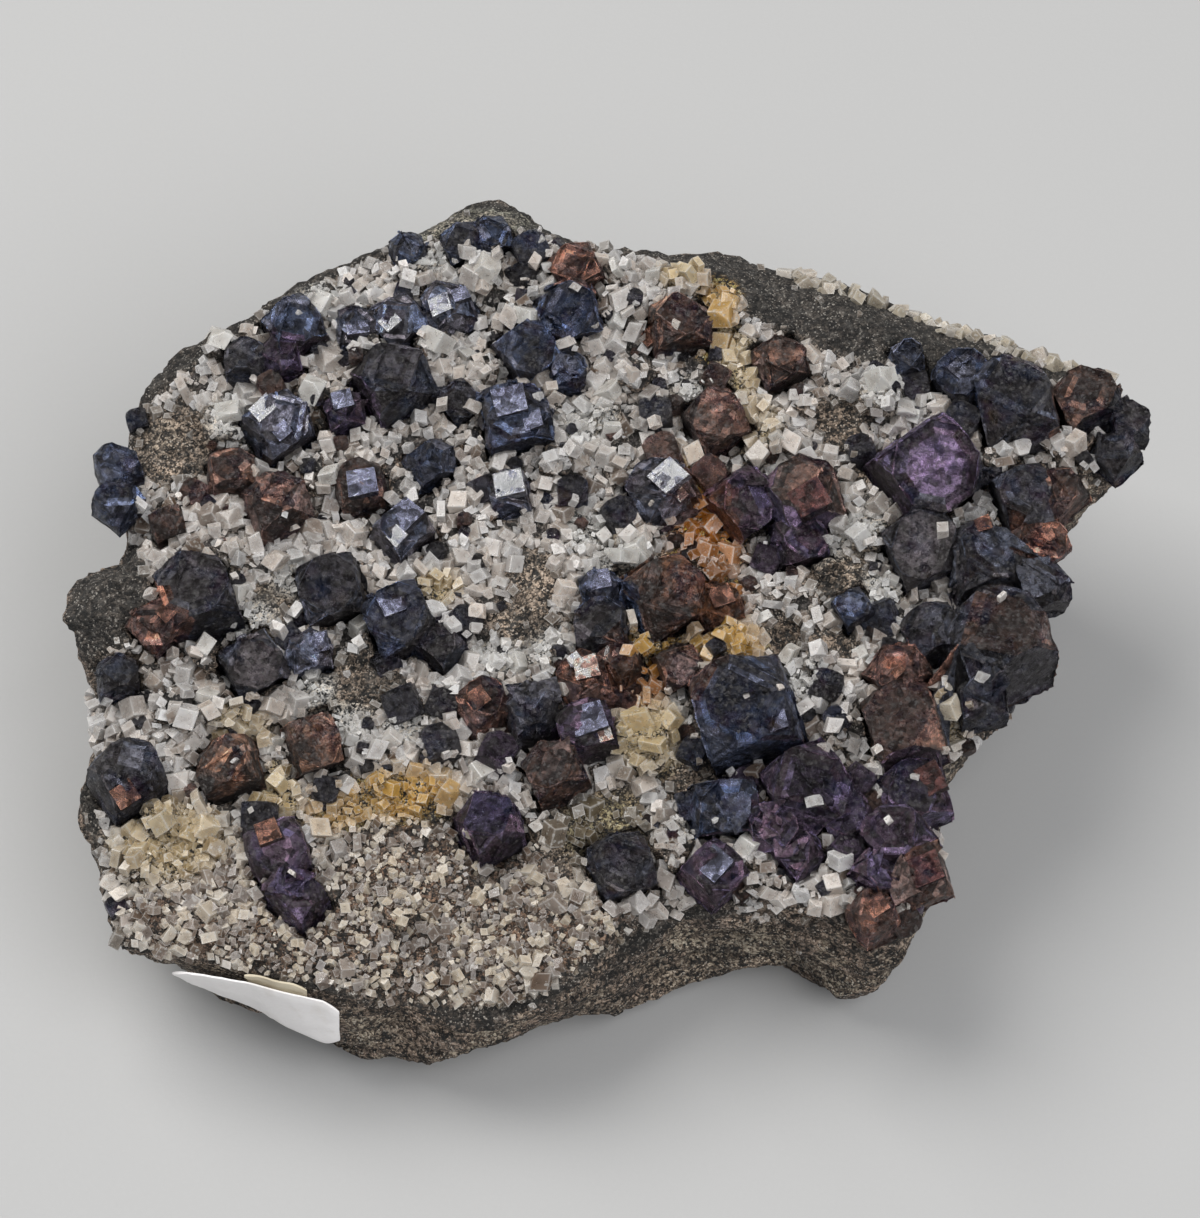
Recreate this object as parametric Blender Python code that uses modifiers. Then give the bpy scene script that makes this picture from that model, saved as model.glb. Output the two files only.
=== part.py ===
"""Galena on dolomite: a broken slab of grey-brown dolostone whose upper face is grown over with dolomite and galena.

The slab lies on its back on a flat foot. +X runs to the right, +Y away from the viewer and +Z up, in metres, with the
origin on the foot. The crystal face leans towards the viewer. Places on it are given as u to the right and v up the
face, in millimetres, and h is the height above it.
"""

import math
from random import Random
from typing import NamedTuple

import bmesh
import bpy
from mathutils import Matrix, Vector, noise
from mathutils.bvhtree import BVHTree

MM = 0.001
FACE_TILT = math.radians(12)
FACE_HEIGHT = 29.0
NORMAL = Vector((0, -math.sin(FACE_TILT), math.cos(FACE_TILT)))
GAP = 0.35
VIEW_LEAN = math.radians(22)

# The slab: how finely its ball is divided, and how many of its triangles are kept once it has its shape.
BALL_DIVISIONS = 6
ROCK_KEPT = 0.086
TOP_BAND = math.radians(71)
FOOT_BAND = math.radians(110)
FOOT_LIFT = 3.2
FOOT_SINK = 2.0
FOOT_FLAT = 0.84
RIM_ROUNDING = 2.2
RIM_START = 0.93
LEDGE_PITCH = 4.6
LEDGE_DEPTH = 0.9

# The bare break along the back right: where it starts on the left, how that line falls to the right and how steeply
# the break drops, and the same for the knob at the very top.
BREAK_START = (8.0, 41.0)
BREAK_LINE_FALL = 0.255
BREAK_DROP = 0.42
KNOB_START = 48.2
KNOB_DROP = 0.55

# Where the crystal face ends, anticlockwise from the right, as (u, v).
RIM = (
    (50.6, -3), (51.8, 1), (52.6, 6), (52.2, 10), (54.4, 12), (57, 15.5), (61.4, 17.4), (62.8, 22), (62.2, 26.5),
    (60, 29), (56, 31), (51, 33), (46, 35), (41, 36.7), (36, 39.5), (31, 42), (26, 43.4), (22, 44.4), (17, 45.6),
    (13, 46.6), (9, 46.2), (4, 46.4), (0, 47.2), (-4, 48), (-7, 50.3), (-10.5, 52.8), (-15, 52.6), (-19, 51.2),
    (-23, 48.3), (-26, 47.3), (-30, 45.4), (-35, 43), (-39, 40.8), (-42.5, 37.4), (-46, 35.4), (-51, 32.8),
    (-54.3, 29), (-55, 25), (-55.8, 21), (-57, 17), (-56.6, 13), (-55.6, 10), (-57, 7.6), (-59.5, 6), (-61.5, 3),
    (-62, 0), (-60.6, -4), (-58.2, -8), (-57.4, -14), (-58.4, -18), (-59.8, -22.5), (-58.2, -26), (-57, -31),
    (-55.8, -36), (-53.8, -40.4), (-50, -41.3), (-45, -42.2), (-40, -43), (-35, -44.4), (-30, -45.6), (-25, -46.2),
    (-20, -46.6), (-13, -47), (-8, -46.8), (-3, -45), (0, -42), (2, -38.4), (6, -35.8), (11, -34.8), (15, -35),
    (20, -35.2), (24, -36), (29, -38.6), (34, -39.8), (37.4, -36), (38.4, -30), (38.4, -24), (38.2, -19),
    (42, -15.4), (46.4, -12.6), (49.6, -8.6),
)

# Where the sides come down to the ground, anticlockwise from the right, as (x, y).
FOOT = (
    (38.5, 1), (42, 6), (46, 11), (48.5, 17), (50.5, 23), (49.5, 29), (42, 35), (30, 40), (18, 42.5), (5, 43.6),
    (-8, 45.6), (-20, 43), (-30, 38.4), (-40, 32), (-47, 23), (-51.4, 12), (-55, 2), (-54.6, -7), (-53.6, -15),
    (-51.4, -22.4), (-48.6, -27.4), (-45, -31.6), (-41, -35.6), (-36.6, -39), (-33.4, -42.2), (-30.4, -44.2),
    (-27, -45), (-22.5, -43.6), (-18, -44.7), (-12, -43), (-8, -41.3), (-4, -39.2), (2, -39.7), (5, -36.9),
    (12, -34.1), (17.5, -31.9), (20, -32.2), (24, -33), (26.5, -37.2), (30, -35.8), (33.4, -30.4), (35, -24),
    (36.5, -14), (37, -4),
)

# How a crystal stands and how galena and dolomite grow, as shares of the crystal's width where not in degrees: how far
# its middle rises over the face, how far it leans, how deep the galena's corners are cut, and how far a dolomite cube
# is pressed together and tipped.
GALENA_RISE = 0.10
GALENA_LEAN = 16
GALENA_STRETCH = ((0.9, 1.04), (0.9, 1.04), (0.86, 1.0))
GALENA_CORNER = (0.53, 0.68)
GALENA_SEED = 100
DOLOMITE_RISE = 0.12
DOLOMITE_LEAN = 25
DOLOMITE_SIDE = 0.86
DOLOMITE_PRESSED = (1.05, 1.05, 0.80)
DOLOMITE_TIP = (20, 70)
DOLOMITE_SEED = 900


class Swelling(NamedTuple):
    """A rise of the crystal face, or a hollow where its height is negative."""

    u: float
    v: float
    radius: float
    height: float


class Crystal(NamedTuple):
    """One crystal: where it stands on the face, its width, its turn about the face's normal in degrees and its look."""

    u: float
    v: float
    across: float
    turn: float = 0.0
    look: str = "black"


# The broad rises and hollows of the crystal face.
SWELLINGS = (
    Swelling(48, 22, 13, 2.2),
    Swelling(46, -5, 10, 1.6),
    Swelling(34, -30, 9, 1.4),
    Swelling(17, -13, 7, 1.0),
    Swelling(-26, -12, 8, 0.9),
    Swelling(27, 2, 7, 0.9),
    Swelling(-47, 0, 8, 1.2),
    Swelling(-8, 44, 12, 0.8),
    Swelling(-60, 1, 5, 1.4),
    Swelling(-56, 8, 3.4, -2.6),
    Swelling(-51, 22, 8, -2.2),
    Swelling(12, 6, 7, -1.6),
    Swelling(8, -20, 7, -1.4),
    Swelling(-30, -38, 15, -1.6),
    Swelling(-10, -35, 14, -1.2),
    Swelling(28, 22, 5, -1.1),
    Swelling(12.2, -20.4, 1.9, -3.4),
    Swelling(21.6, -3.0, 1.9, -2.6),
)

# The galena crystals over about 4.4 mm, from the top left to the bottom right.
GALENA = (
    Crystal(-22.8, 45.4, 4.8, 20, "blue"),
    Crystal(-16.4, 46.4, 4.8, 22, "blue"),
    Crystal(-12.8, 47.4, 4.6, 22, "blue"),
    Crystal(-2.8, 43.0, 5.6, 25, "copper"),
    Crystal(-18.0, 38.0, 5.6, 20, "silver"),
    Crystal(-23.6, 36.3, 5.6, 40, "silver"),
    Crystal(-28.7, 35.7, 4.8, 5, "silver"),
    Crystal(-36.2, 35.6, 6.6, 30, "blue"),
    Crystal(-37.6, 31.9, 5.0, 10, "violet"),
    Crystal(-41.9, 31.2, 5.0, 0, "black"),
    Crystal(-24.2, 28.4, 8.0, 30, "black"),
    Crystal(-29.9, 24.6, 4.6, 15, "violet"),
    Crystal(-37.6, 22.8, 7.8, 35, "silver"),
    Crystal(-56.4, 17.8, 5.4, 20, "blue"),
    Crystal(-56.2, 13.4, 5.2, 50, "blue"),
    Crystal(-43.0, 17.0, 5.2, 10, "rust"),
    Crystal(-37.5, 12.6, 6.8, 25, "rust"),
    Crystal(-28.0, 15.2, 6.6, 10, "rust"),
    Crystal(-22.8, 9.2, 6.6, 44, "silver"),
    Crystal(-19.6, 18.2, 5.6, 30, "blue"),
    Crystal(-9.8, 23.4, 8.0, 12, "blue"),
    Crystal(-16.6, 26.2, 4.8, 40, "black"),
    Crystal(-8.6, 32.3, 6.4, 35, "blue"),
    Crystal(-3.8, 29.8, 4.4, 10, "blue"),
    Crystal(-3.8, 37.2, 6.8, 20, "blue"),
    Crystal(9.6, 35.9, 7.4, 10, "rust"),
    Crystal(13.6, 23.6, 7.6, 30, "rust"),
    Crystal(-10.6, 14.2, 5.4, 8, "silver"),
    Crystal(7.0, 14.3, 6.8, 25, "silver"),
    Crystal(16.8, 13.0, 6.8, 40, "violet"),
    Crystal(-50.2, 10.4, 4.6, 20, "rust"),
    Crystal(-46.4, 0.8, 8.8, 20, "black"),
    Crystal(-50.8, -3.0, 5.6, 45, "copper"),
    Crystal(-31.0, 1.8, 7.4, 15, "black"),
    Crystal(-39.9, -7.0, 7.0, 30, "black"),
    Crystal(-33.2, -5.6, 4.8, 10, "silver"),
    Crystal(-23.0, -2.2, 7.6, 25, "blue"),
    Crystal(-18.2, -5.2, 4.8, 50, "black"),
    Crystal(-55.2, -8.8, 5.4, 10, "black"),
    Crystal(-32.6, -16.8, 7.2, 20, "rust"),
    Crystal(-42.4, -19.4, 7.4, 15, "rust"),
    Crystal(-53.6, -21.0, 8.4, 35, "black"),
    Crystal(0.0, 2.0, 4.8, 10, "blue"),
    Crystal(0.0, -2.4, 5.6, 0, "black"),
    Crystal(7.6, 1.2, 8.4, 30, "rust"),
    Crystal(-1.6, -9.0, 5.6, 12, "copper"),
    Crystal(2.6, -7.0, 4.6, 35, "rust"),
    Crystal(-1.6, -15.4, 6.6, 15, "violet"),
    Crystal(-7.8, -13.3, 6.2, 20, "black"),
    Crystal(-13.4, -12.4, 5.6, 35, "copper"),
    Crystal(13.6, 0.4, 5.2, 20, "copper"),
    Crystal(16.6, -13.4, 10.8, 15, "blue"),
    Crystal(9.2, -7.6, 5.0, 20, "rust"),
    Crystal(14.0, -24.8, 6.8, 5, "blue"),
    Crystal(23.8, -22.6, 9.4, 30, "violet"),
    Crystal(19.2, -27.0, 5.6, 10, "violet"),
    Crystal(22.2, -30.0, 4.8, 40, "violet"),
    Crystal(-5.2, -20.2, 6.6, 25, "rust"),
    Crystal(-12.6, -26.6, 7.2, 30, "violet"),
    Crystal(2.6, -31.4, 7.8, 20, "black"),
    Crystal(12.8, -32.4, 6.4, 45, "violet"),
    Crystal(-36.4, -29.6, 6.6, 20, "violet"),
    Crystal(-34.0, -34.9, 5.6, 50, "violet"),
    Crystal(21.4, 31.0, 6.2, 25, "rust"),
    Crystal(36.2, 31.2, 4.6, 10, "blue"),
    Crystal(48.6, 24.2, 9.6, 10, "rust"),
    Crystal(43.2, 28.0, 6.6, 40, "blue"),
    Crystal(38.2, 16.0, 11.0, 35, "rust"),
    Crystal(57.2, 25.2, 7.2, 20, "rust"),
    Crystal(61.8, 22.4, 4.8, 10, "black"),
    Crystal(60.2, 18.8, 4.8, 40, "black"),
    Crystal(23.6, 13.2, 8.2, 30, "rust"),
    Crystal(23.2, 8.2, 5.8, 10, "violet"),
    Crystal(49.4, 13.0, 6.8, 20, "black"),
    Crystal(53.6, 13.8, 5.2, 40, "rust"),
    Crystal(37.4, 6.6, 8.6, 25, "black"),
    Crystal(44.4, 4.6, 8.4, 10, "rust"),
    Crystal(50.6, 7.4, 6.0, 35, "copper"),
    Crystal(50.8, 2.0, 5.6, 15, "black"),
    Crystal(45.0, -6.0, 11.0, 30, "rust"),
    Crystal(43.4, -11.6, 6.0, 10, "black"),
    Crystal(38.2, -4.0, 6.6, 20, "black"),
    Crystal(34.2, -8.6, 6.4, 40, "copper"),
    Crystal(34.6, -15.2, 8.8, 15, "rust"),
    Crystal(29.2, -0.6, 5.0, 30, "blue"),
    Crystal(35.6, -23.4, 7.0, 25, "rust"),
    Crystal(33.6, -28.6, 7.0, 40, "violet"),
    Crystal(28.0, -26.0, 5.4, 15, "violet"),
    Crystal(35.8, -33.4, 6.2, 20, "rust"),
    Crystal(31.2, -33.0, 4.8, 45, "violet"),
    Crystal(30.6, -37.6, 5.0, 30, "copper"),
)

# The largest dolomite crystals, which belong to the slab.
DOLOMITE = (
    Crystal(-45.0, 33.2, 3.4, 10), Crystal(-43.8, 22.9, 4.6, 30), Crystal(-33.2, 39.2, 4.4, 70),
    Crystal(-21.6, 43.2, 4.6, 15), Crystal(-34.2, 27.2, 3.8, 80), Crystal(-27.2, 31.8, 3.6, 60),
    Crystal(-13.4, 43.0, 5.2, 35), Crystal(-9.0, 37.0, 4.8, 20), Crystal(-19.4, 33.2, 4.0, 45),
    Crystal(-13.6, 29.6, 3.8, 5), Crystal(2.2, 43.2, 3.4, 65), Crystal(11.0, 42.2, 3.6, 75),
    Crystal(2.0, 38.4, 3.8, 10), Crystal(-5.6, 26.0, 3.4, 55), Crystal(14.6, 37.2, 4.6, 30),
    Crystal(17.4, 33.8, 3.4, 85), Crystal(0.6, 24.0, 3.4, 40), Crystal(4.2, 28.8, 3.6, 15),
    Crystal(-5.0, 18.4, 3.8, 25), Crystal(2.4, 18.4, 4.2, 70), Crystal(-33.4, 16.6, 5.0, 20),
    Crystal(-22.8, 14.8, 3.8, 50), Crystal(-43.0, 5.6, 3.4, 35), Crystal(-45.0, -6.4, 3.4, 80),
    Crystal(-48.4, -12.2, 4.0, 45), Crystal(-42.8, -13.4, 4.0, 10), Crystal(-27.2, -5.4, 3.4, 65),
    Crystal(3.6, 6.4, 4.8, 40), Crystal(-6.4, -7.4, 4.0, 55), Crystal(5.4, -16.2, 5.4, 5),
    Crystal(5.8, -4.8, 3.4, 60), Crystal(14.8, -4.6, 3.8, 35), Crystal(12.6, 6.2, 3.8, 80),
    Crystal(33.4, 26.2, 5.0, 25), Crystal(24.4, 26.4, 3.4, 70), Crystal(20.6, 21.4, 3.8, 45),
    Crystal(46.6, 17.6, 4.4, 15), Crystal(57.0, 18.8, 3.8, 60), Crystal(53.4, 20.0, 3.4, 85),
    Crystal(42.0, 9.6, 3.4, 30), Crystal(26.4, 5.2, 3.4, 55), Crystal(31.6, 8.2, 3.8, 20),
    Crystal(25.0, -7.0, 3.6, 10), Crystal(39.6, -12.4, 3.4, 65), Crystal(27.4, -15.6, 3.8, 50),
    Crystal(31.4, -21.2, 4.0, 5), Crystal(8.6, -28.6, 4.6, 80), Crystal(17.0, -31.2, 3.4, 25),
    Crystal(26.6, -30.4, 3.4, 60), Crystal(-22.6, -36.6, 3.6, 70), Crystal(-49.6, -26.4, 3.4, 40),
    Crystal(-52.4, -31.4, 3.4, 20), Crystal(-25.0, -21.4, 3.4, 55),
)

# The collector's label, bent round the front left of the slab: its place round the rim and down the side.
LABEL_TURN = (-139.5, -122.4)
LABEL_DROP = (0.02, 0.58)
OLD_LABEL_TURN = (-132.6, -126.0)
OLD_LABEL_DROP = (-0.06, 0.12)
LABEL_CORNER = 0.16
LABEL_THICKNESS = 0.2
LABEL_LIFT = 1.1
LABEL_GRID = (10, 4)
OLD_LABEL_LIFT = 0.55
OLD_LABEL_GRID = (5, 2)

LOOKS = {
    "dolostone": ((0.33, 0.30, 0.26), 0.85, 0.0),
    "paper": ((0.90, 0.89, 0.87), 0.6, 0.0),
    "old_paper": ((0.78, 0.72, 0.58), 0.7, 0.0),
    "galena_black": ((0.07, 0.07, 0.08), 0.4, 0.8),
    "galena_blue": ((0.08, 0.09, 0.14), 0.4, 0.8),
    "galena_rust": ((0.13, 0.08, 0.07), 0.5, 0.6),
    "galena_violet": ((0.12, 0.08, 0.14), 0.4, 0.8),
    "galena_copper": ((0.32, 0.19, 0.15), 0.4, 0.8),
    "galena_silver": ((0.42, 0.42, 0.47), 0.3, 1.0),
}


def smooth(low: float, high: float, value: float) -> float:
    """0 below low, 1 above high, and an even curve between them."""
    t = min(1.0, max(0.0, (value - low) / (high - low)))
    return t * t * (3 - 2 * t)


def on_face(u: float, v: float, h: float = 0.0) -> Vector:
    """The point, in millimetres, at (u, v) on the crystal face and h above it."""
    along = Vector((0, math.cos(FACE_TILT), math.sin(FACE_TILT)))
    return Vector((u, 0, FACE_HEIGHT)) + along * v + NORMAL * h


def reach(outline, azimuth: float) -> float:
    """How far an outline lies from its centre in one direction."""
    ray = Vector((math.cos(azimuth), math.sin(azimuth)))
    furthest = 0.0
    for (ax, ay), (bx, by) in zip(outline, outline[1:] + outline[:1]):
        start = Vector((ax, ay))
        edge = Vector((bx - ax, by - ay))
        across = ray.x * edge.y - ray.y * edge.x
        if abs(across) < 1e-9:
            continue
        distance = (start.x * edge.y - start.y * edge.x) / across
        share = (start.x * ray.y - start.y * ray.x) / across
        if 0 <= share <= 1:
            furthest = max(furthest, distance)
    return furthest


def kept_in_view(v: float, lowered: float) -> float:
    """How much further up the face the back of the slab has to reach to show its outline where it has been lowered."""
    return lowered * math.tan(VIEW_LEAN) * smooth(0, 22, v)


def back_break(u: float, v: float) -> float:
    """How far the bare broken edge at the back right has dropped below the crystal face."""
    line = BREAK_START[1] - max(0.0, u - BREAK_START[0]) * BREAK_LINE_FALL
    past = max(0.0, v - line) * smooth(0, 10, u)
    knob = max(0.0, v - KNOB_START)
    return BREAK_DROP * past + KNOB_DROP * knob


def relief(u: float, v: float) -> float:
    """The height of the crystal face above its plane."""
    height = -back_break(u, v)
    for spot in SWELLINGS:
        apart = math.hypot(u - spot.u, v - spot.v) / spot.radius
        height += spot.height * math.exp(-apart * apart)
    height += 1.0 * noise.noise(Vector((u, v, 3.0)) / 15)
    height += 0.7 * noise.noise(Vector((u, v, 9.0)) / 5)
    return height + 0.5 * noise.noise(Vector((u, v, 21.0)) / 2.2)


def label_quiet(azimuth: float, drop: float) -> float:
    """1 on the rough sides, falling to 0 where the labels are stuck."""
    degrees = math.degrees(azimuth)
    beside = max(LABEL_TURN[0] - degrees, degrees - LABEL_TURN[1]) / 4
    above = max(OLD_LABEL_DROP[0] - drop, drop - LABEL_DROP[1]) / 0.15
    return smooth(0.0, 1.0, max(beside, above, 0.0))


def flank(azimuth: float, drop: float, rough: float = 1.0) -> Vector:
    """A point of the side: drop is 0 at the rim and 1 at the foot."""
    outward = Vector((math.cos(azimuth), math.sin(azimuth), 0))
    rim = reach(RIM, azimuth)
    u = rim * outward.x
    v = rim * outward.y
    height = rough * relief(u, v) * label_quiet(azimuth, drop) - RIM_ROUNDING
    high = on_face(u, v + kept_in_view(v, back_break(u, v) + RIM_ROUNDING), height)
    low = reach(FOOT, azimuth) * outward + Vector((0, 0, FOOT_LIFT))
    bulge = 1.0 + 1.2 * noise.noise(outward * 2.2)
    point = high.lerp(low, drop) + outward * bulge * math.sin(math.pi * drop)
    quiet = rough * label_quiet(azimuth, drop) * smooth(0.0, 0.12, drop)
    ledge = (point.z / LEDGE_PITCH + 1.3 * noise.noise(point / 14)) % 1.0
    broken = LEDGE_DEPTH * (ledge - 0.5) + 2.2 * noise.noise(point / 11) + 0.9 * noise.noise(point / 4)
    return point + outward * quiet * broken


def rock_point(direction: Vector) -> Vector:
    """Where a point of the ball goes on the slab, in millimetres."""
    polar = direction.angle(Vector((0, 0, 1)))
    azimuth = math.atan2(direction.y, direction.x)
    if polar <= TOP_BAND:
        share = math.sin(polar / 2) / math.sin(TOP_BAND / 2)
        far = share * reach(RIM, azimuth)
        u = far * math.cos(azimuth)
        v = far * math.sin(azimuth)
        rounding = RIM_ROUNDING * smooth(RIM_START, 1.0, share)
        edge = 1 - smooth(RIM_START, 1.0, share) * (1 - label_quiet(azimuth, 0.0))
        return on_face(u, v + kept_in_view(v, back_break(u, v) + rounding), relief(u, v) * edge - rounding)
    drop = (math.cos(TOP_BAND) - math.cos(polar)) / (math.cos(TOP_BAND) - math.cos(FOOT_BAND))
    if drop <= 1:
        return flank(azimuth, drop)
    share = math.sin((math.pi - polar) / 2) / math.sin((math.pi - FOOT_BAND) / 2)
    edge = flank(azimuth, 1.0)
    lift = FOOT_SINK + 0.9 * noise.noise(Vector((edge.x, edge.y, 5.0)) / 17 * share)
    level = (FOOT_LIFT + lift) * smooth(FOOT_FLAT, 1.0, share) - lift
    return Vector((edge.x * share, edge.y * share, level))


def material(look: str) -> bpy.types.Material:
    """The finish of one kind of piece."""
    found = bpy.data.materials.get(look)
    if found:
        return found
    colour, roughness, metallic = LOOKS[look]
    made = bpy.data.materials.new(look)
    made.use_nodes = True
    shader = made.node_tree.nodes["Principled BSDF"]
    shader.inputs["Base Color"].default_value = (*colour, 1)
    shader.inputs["Roughness"].default_value = roughness
    shader.inputs["Metallic"].default_value = metallic
    made.diffuse_color = (*colour, 1)
    return made


def put(name: str, mesh: bpy.types.Mesh, collection: bpy.types.Collection) -> bpy.types.Object:
    """A new object that holds a mesh."""
    made = bpy.data.objects.new(name, mesh)
    collection.objects.link(made)
    return made


def to_mesh(form: bmesh.types.BMesh, name: str) -> bpy.types.Mesh:
    """A bmesh in millimetres as a mesh in metres."""
    bmesh.ops.transform(form, matrix=Matrix.Scale(MM, 4), verts=form.verts)
    mesh = bpy.data.meshes.new(name)
    form.to_mesh(mesh)
    form.free()
    return mesh


def settle(piece: bpy.types.Object) -> None:
    """Gives an object the mesh that its modifiers make, and drops them."""
    bpy.context.view_layer.update()
    evaluated = piece.evaluated_get(bpy.context.evaluated_depsgraph_get())
    made = bpy.data.meshes.new_from_object(evaluated)
    piece.modifiers.clear()
    piece.data = made


def combine(piece: bpy.types.Object, others: bpy.types.Collection, operation: str) -> None:
    """Joins the objects of a collection to a piece, or cuts it with them."""
    step = piece.modifiers.new(operation.title(), "BOOLEAN")
    step.operation = operation
    step.operand_type = "COLLECTION"
    step.collection = others
    step.solver = "EXACT"
    settle(piece)


def helper_collection(name: str) -> bpy.types.Collection:
    """A collection whose objects aren't rendered."""
    made = bpy.data.collections.new(name)
    bpy.context.scene.collection.children.link(made)
    made.hide_render = True
    return made


def make_rock(parts: bpy.types.Collection) -> bpy.types.Object:
    """The slab: a divided ball given the slab's shape, with the triangles that its facets don't need taken out."""
    form = bmesh.new()
    bmesh.ops.create_icosphere(form, subdivisions=BALL_DIVISIONS, radius=1.0)
    for vert in form.verts:
        vert.co = rock_point(vert.co.normalized())
    rock = put("matrix_rock", to_mesh(form, "matrix_rock"), parts)
    fewer = rock.modifiers.new("Facets", "DECIMATE")
    fewer.ratio = ROCK_KEPT
    settle(rock)
    rock.data.materials.append(material("dolostone"))
    return rock


def seat(crystal: Crystal, rise: float, chance: Random, lean: float) -> Matrix:
    """Where a crystal stands: sunk into the face, turned about its normal and leaning a little."""
    place = on_face(crystal.u, crystal.v, relief(crystal.u, crystal.v) + rise * crystal.across)
    turned = Matrix.Rotation(math.radians(crystal.turn), 4, "Z")
    leaning = Matrix.Rotation(math.radians(chance.uniform(-lean, lean)), 4, "X")
    rolling = Matrix.Rotation(math.radians(chance.uniform(-lean, lean)), 4, "Y")
    upright = Matrix.Rotation(FACE_TILT, 4, "X")
    return Matrix.Translation(place) @ upright @ leaning @ rolling @ turned


def galena_form(crystal: Crystal, number: int, around: float = 0.0) -> bmesh.types.BMesh:
    """A cube whose upper corners are cut off by the octahedron, as galena grows, or the cube that clears it."""
    chance = Random(GALENA_SEED + number)
    form = bmesh.new()
    bmesh.ops.create_cube(form, size=1.0)
    stretch = Vector([chance.uniform(*limits) for limits in GALENA_STRETCH])
    sides = stretch * crystal.across + Vector((2 * around,) * 3)
    bmesh.ops.scale(form, vec=sides, verts=form.verts)
    place = seat(crystal, GALENA_RISE, chance, GALENA_LEAN)
    if around:
        bmesh.ops.transform(form, matrix=place, verts=form.verts)
        return form
    for along_x in (-1, 1):
        for along_y in (-1, 1):
            corner = Vector((along_x, along_y, 1)).normalized()
            depth = chance.uniform(*GALENA_CORNER) * crystal.across
            everything = form.verts[:] + form.edges[:] + form.faces[:]
            cut = bmesh.ops.bisect_plane(
                form, geom=everything, plane_co=corner * depth, plane_no=corner, clear_outer=True
            )
            opened = [part for part in cut["geom_cut"] if isinstance(part, bmesh.types.BMEdge)]
            bmesh.ops.contextual_create(form, geom=opened)
    bmesh.ops.recalc_face_normals(form, faces=form.faces)
    bmesh.ops.transform(form, matrix=place, verts=form.verts)
    return form


def dolomite_form(crystal: Crystal, number: int) -> bmesh.types.BMesh:
    """A rhombohedron: a cube pressed together along one of its diagonals."""
    chance = Random(DOLOMITE_SEED + number)
    form = bmesh.new()
    bmesh.ops.create_cube(form, size=crystal.across * DOLOMITE_SIDE)
    diagonal = Vector((1, 1, 1)).rotation_difference(Vector((0, 0, 1))).to_matrix()
    bmesh.ops.rotate(form, cent=(0, 0, 0), matrix=diagonal, verts=form.verts)
    bmesh.ops.scale(form, vec=DOLOMITE_PRESSED, verts=form.verts)
    tip = Matrix.Rotation(math.radians(chance.uniform(*DOLOMITE_TIP)), 3, "X")
    bmesh.ops.rotate(form, cent=(0, 0, 0), matrix=tip, verts=form.verts)
    place = seat(crystal, DOLOMITE_RISE, chance, DOLOMITE_LEAN)
    bmesh.ops.transform(form, matrix=place, verts=form.verts)
    return form


def grown_together(forms: list[bmesh.types.BMesh]) -> list[list[int]]:
    """Groups of the crystals that pass into each other, as lists of their numbers."""
    trees = [BVHTree.FromBMesh(form) for form in forms]
    group_of = list(range(len(forms)))
    for first in range(len(forms)):
        for second in range(first + 1, len(forms)):
            if group_of[first] != group_of[second] and trees[first].overlap(trees[second]):
                kept, joined = sorted((group_of[first], group_of[second]))
                group_of = [kept if group == joined else group for group in group_of]
    return [[n for n, group in enumerate(group_of) if group == name] for name in sorted(set(group_of))]


def make_galena(parts: bpy.types.Collection, sockets: bpy.types.Collection) -> None:
    """The galena, one object for each crystal or each group grown together, and the sockets that they fill."""
    forms = [galena_form(crystal, number) for number, crystal in enumerate(GALENA)]
    groups = grown_together(forms)
    for number, crystal in enumerate(GALENA):
        put("socket", to_mesh(galena_form(crystal, number, around=GAP), "socket"), sockets)
    for count, group in enumerate(groups, 1):
        kind = "cluster" if len(group) > 1 else "crystal"
        name = f"galena_{kind}_{count:02d}"
        crystals = [put(name, to_mesh(forms[number], name), parts) for number in group]
        first = crystals[0]
        for other in crystals[1:]:
            step = first.modifiers.new("Grown", "BOOLEAN")
            step.operation = "UNION"
            step.object = other
            step.solver = "EXACT"
        if len(crystals) > 1:
            settle(first)
        for other in crystals[1:]:
            bpy.data.objects.remove(other)
        first.name = name
        first.data.materials.append(material("galena_" + GALENA[group[0]].look))


def make_label(name: str, look: str, turn, drop, lift: float, grid, parts: bpy.types.Collection) -> None:
    """A paper label with round corners, laid over the side of the slab."""
    across, down = grid
    form = bmesh.new()
    bmesh.ops.create_grid(form, x_segments=across, y_segments=down, size=1.0)
    for vert in form.verts:
        a = vert.co.x
        b = vert.co.y
        over = max(0.0, abs(a) - 1 + LABEL_CORNER)
        b *= 1 - 2.2 * over * over / LABEL_CORNER
        azimuth = math.radians(turn[0] + (turn[1] - turn[0]) * (a + 1) / 2)
        here = drop[0] + (drop[1] - drop[0]) * (1 - b) / 2
        middle = flank(azimuth, here, rough=0.0)
        beside = flank(azimuth + 0.01, here, rough=0.0) - middle
        below = flank(azimuth, here + 0.02, rough=0.0) - middle
        vert.co = middle + beside.cross(-below).normalized() * lift
    bmesh.ops.recalc_face_normals(form, faces=form.faces)
    label = put(name, to_mesh(form, name), parts)
    sheet = label.modifiers.new("Thickness", "SOLIDIFY")
    sheet.thickness = LABEL_THICKNESS * MM
    sheet.offset = 0.0
    label.data.materials.append(material(look))


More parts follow.
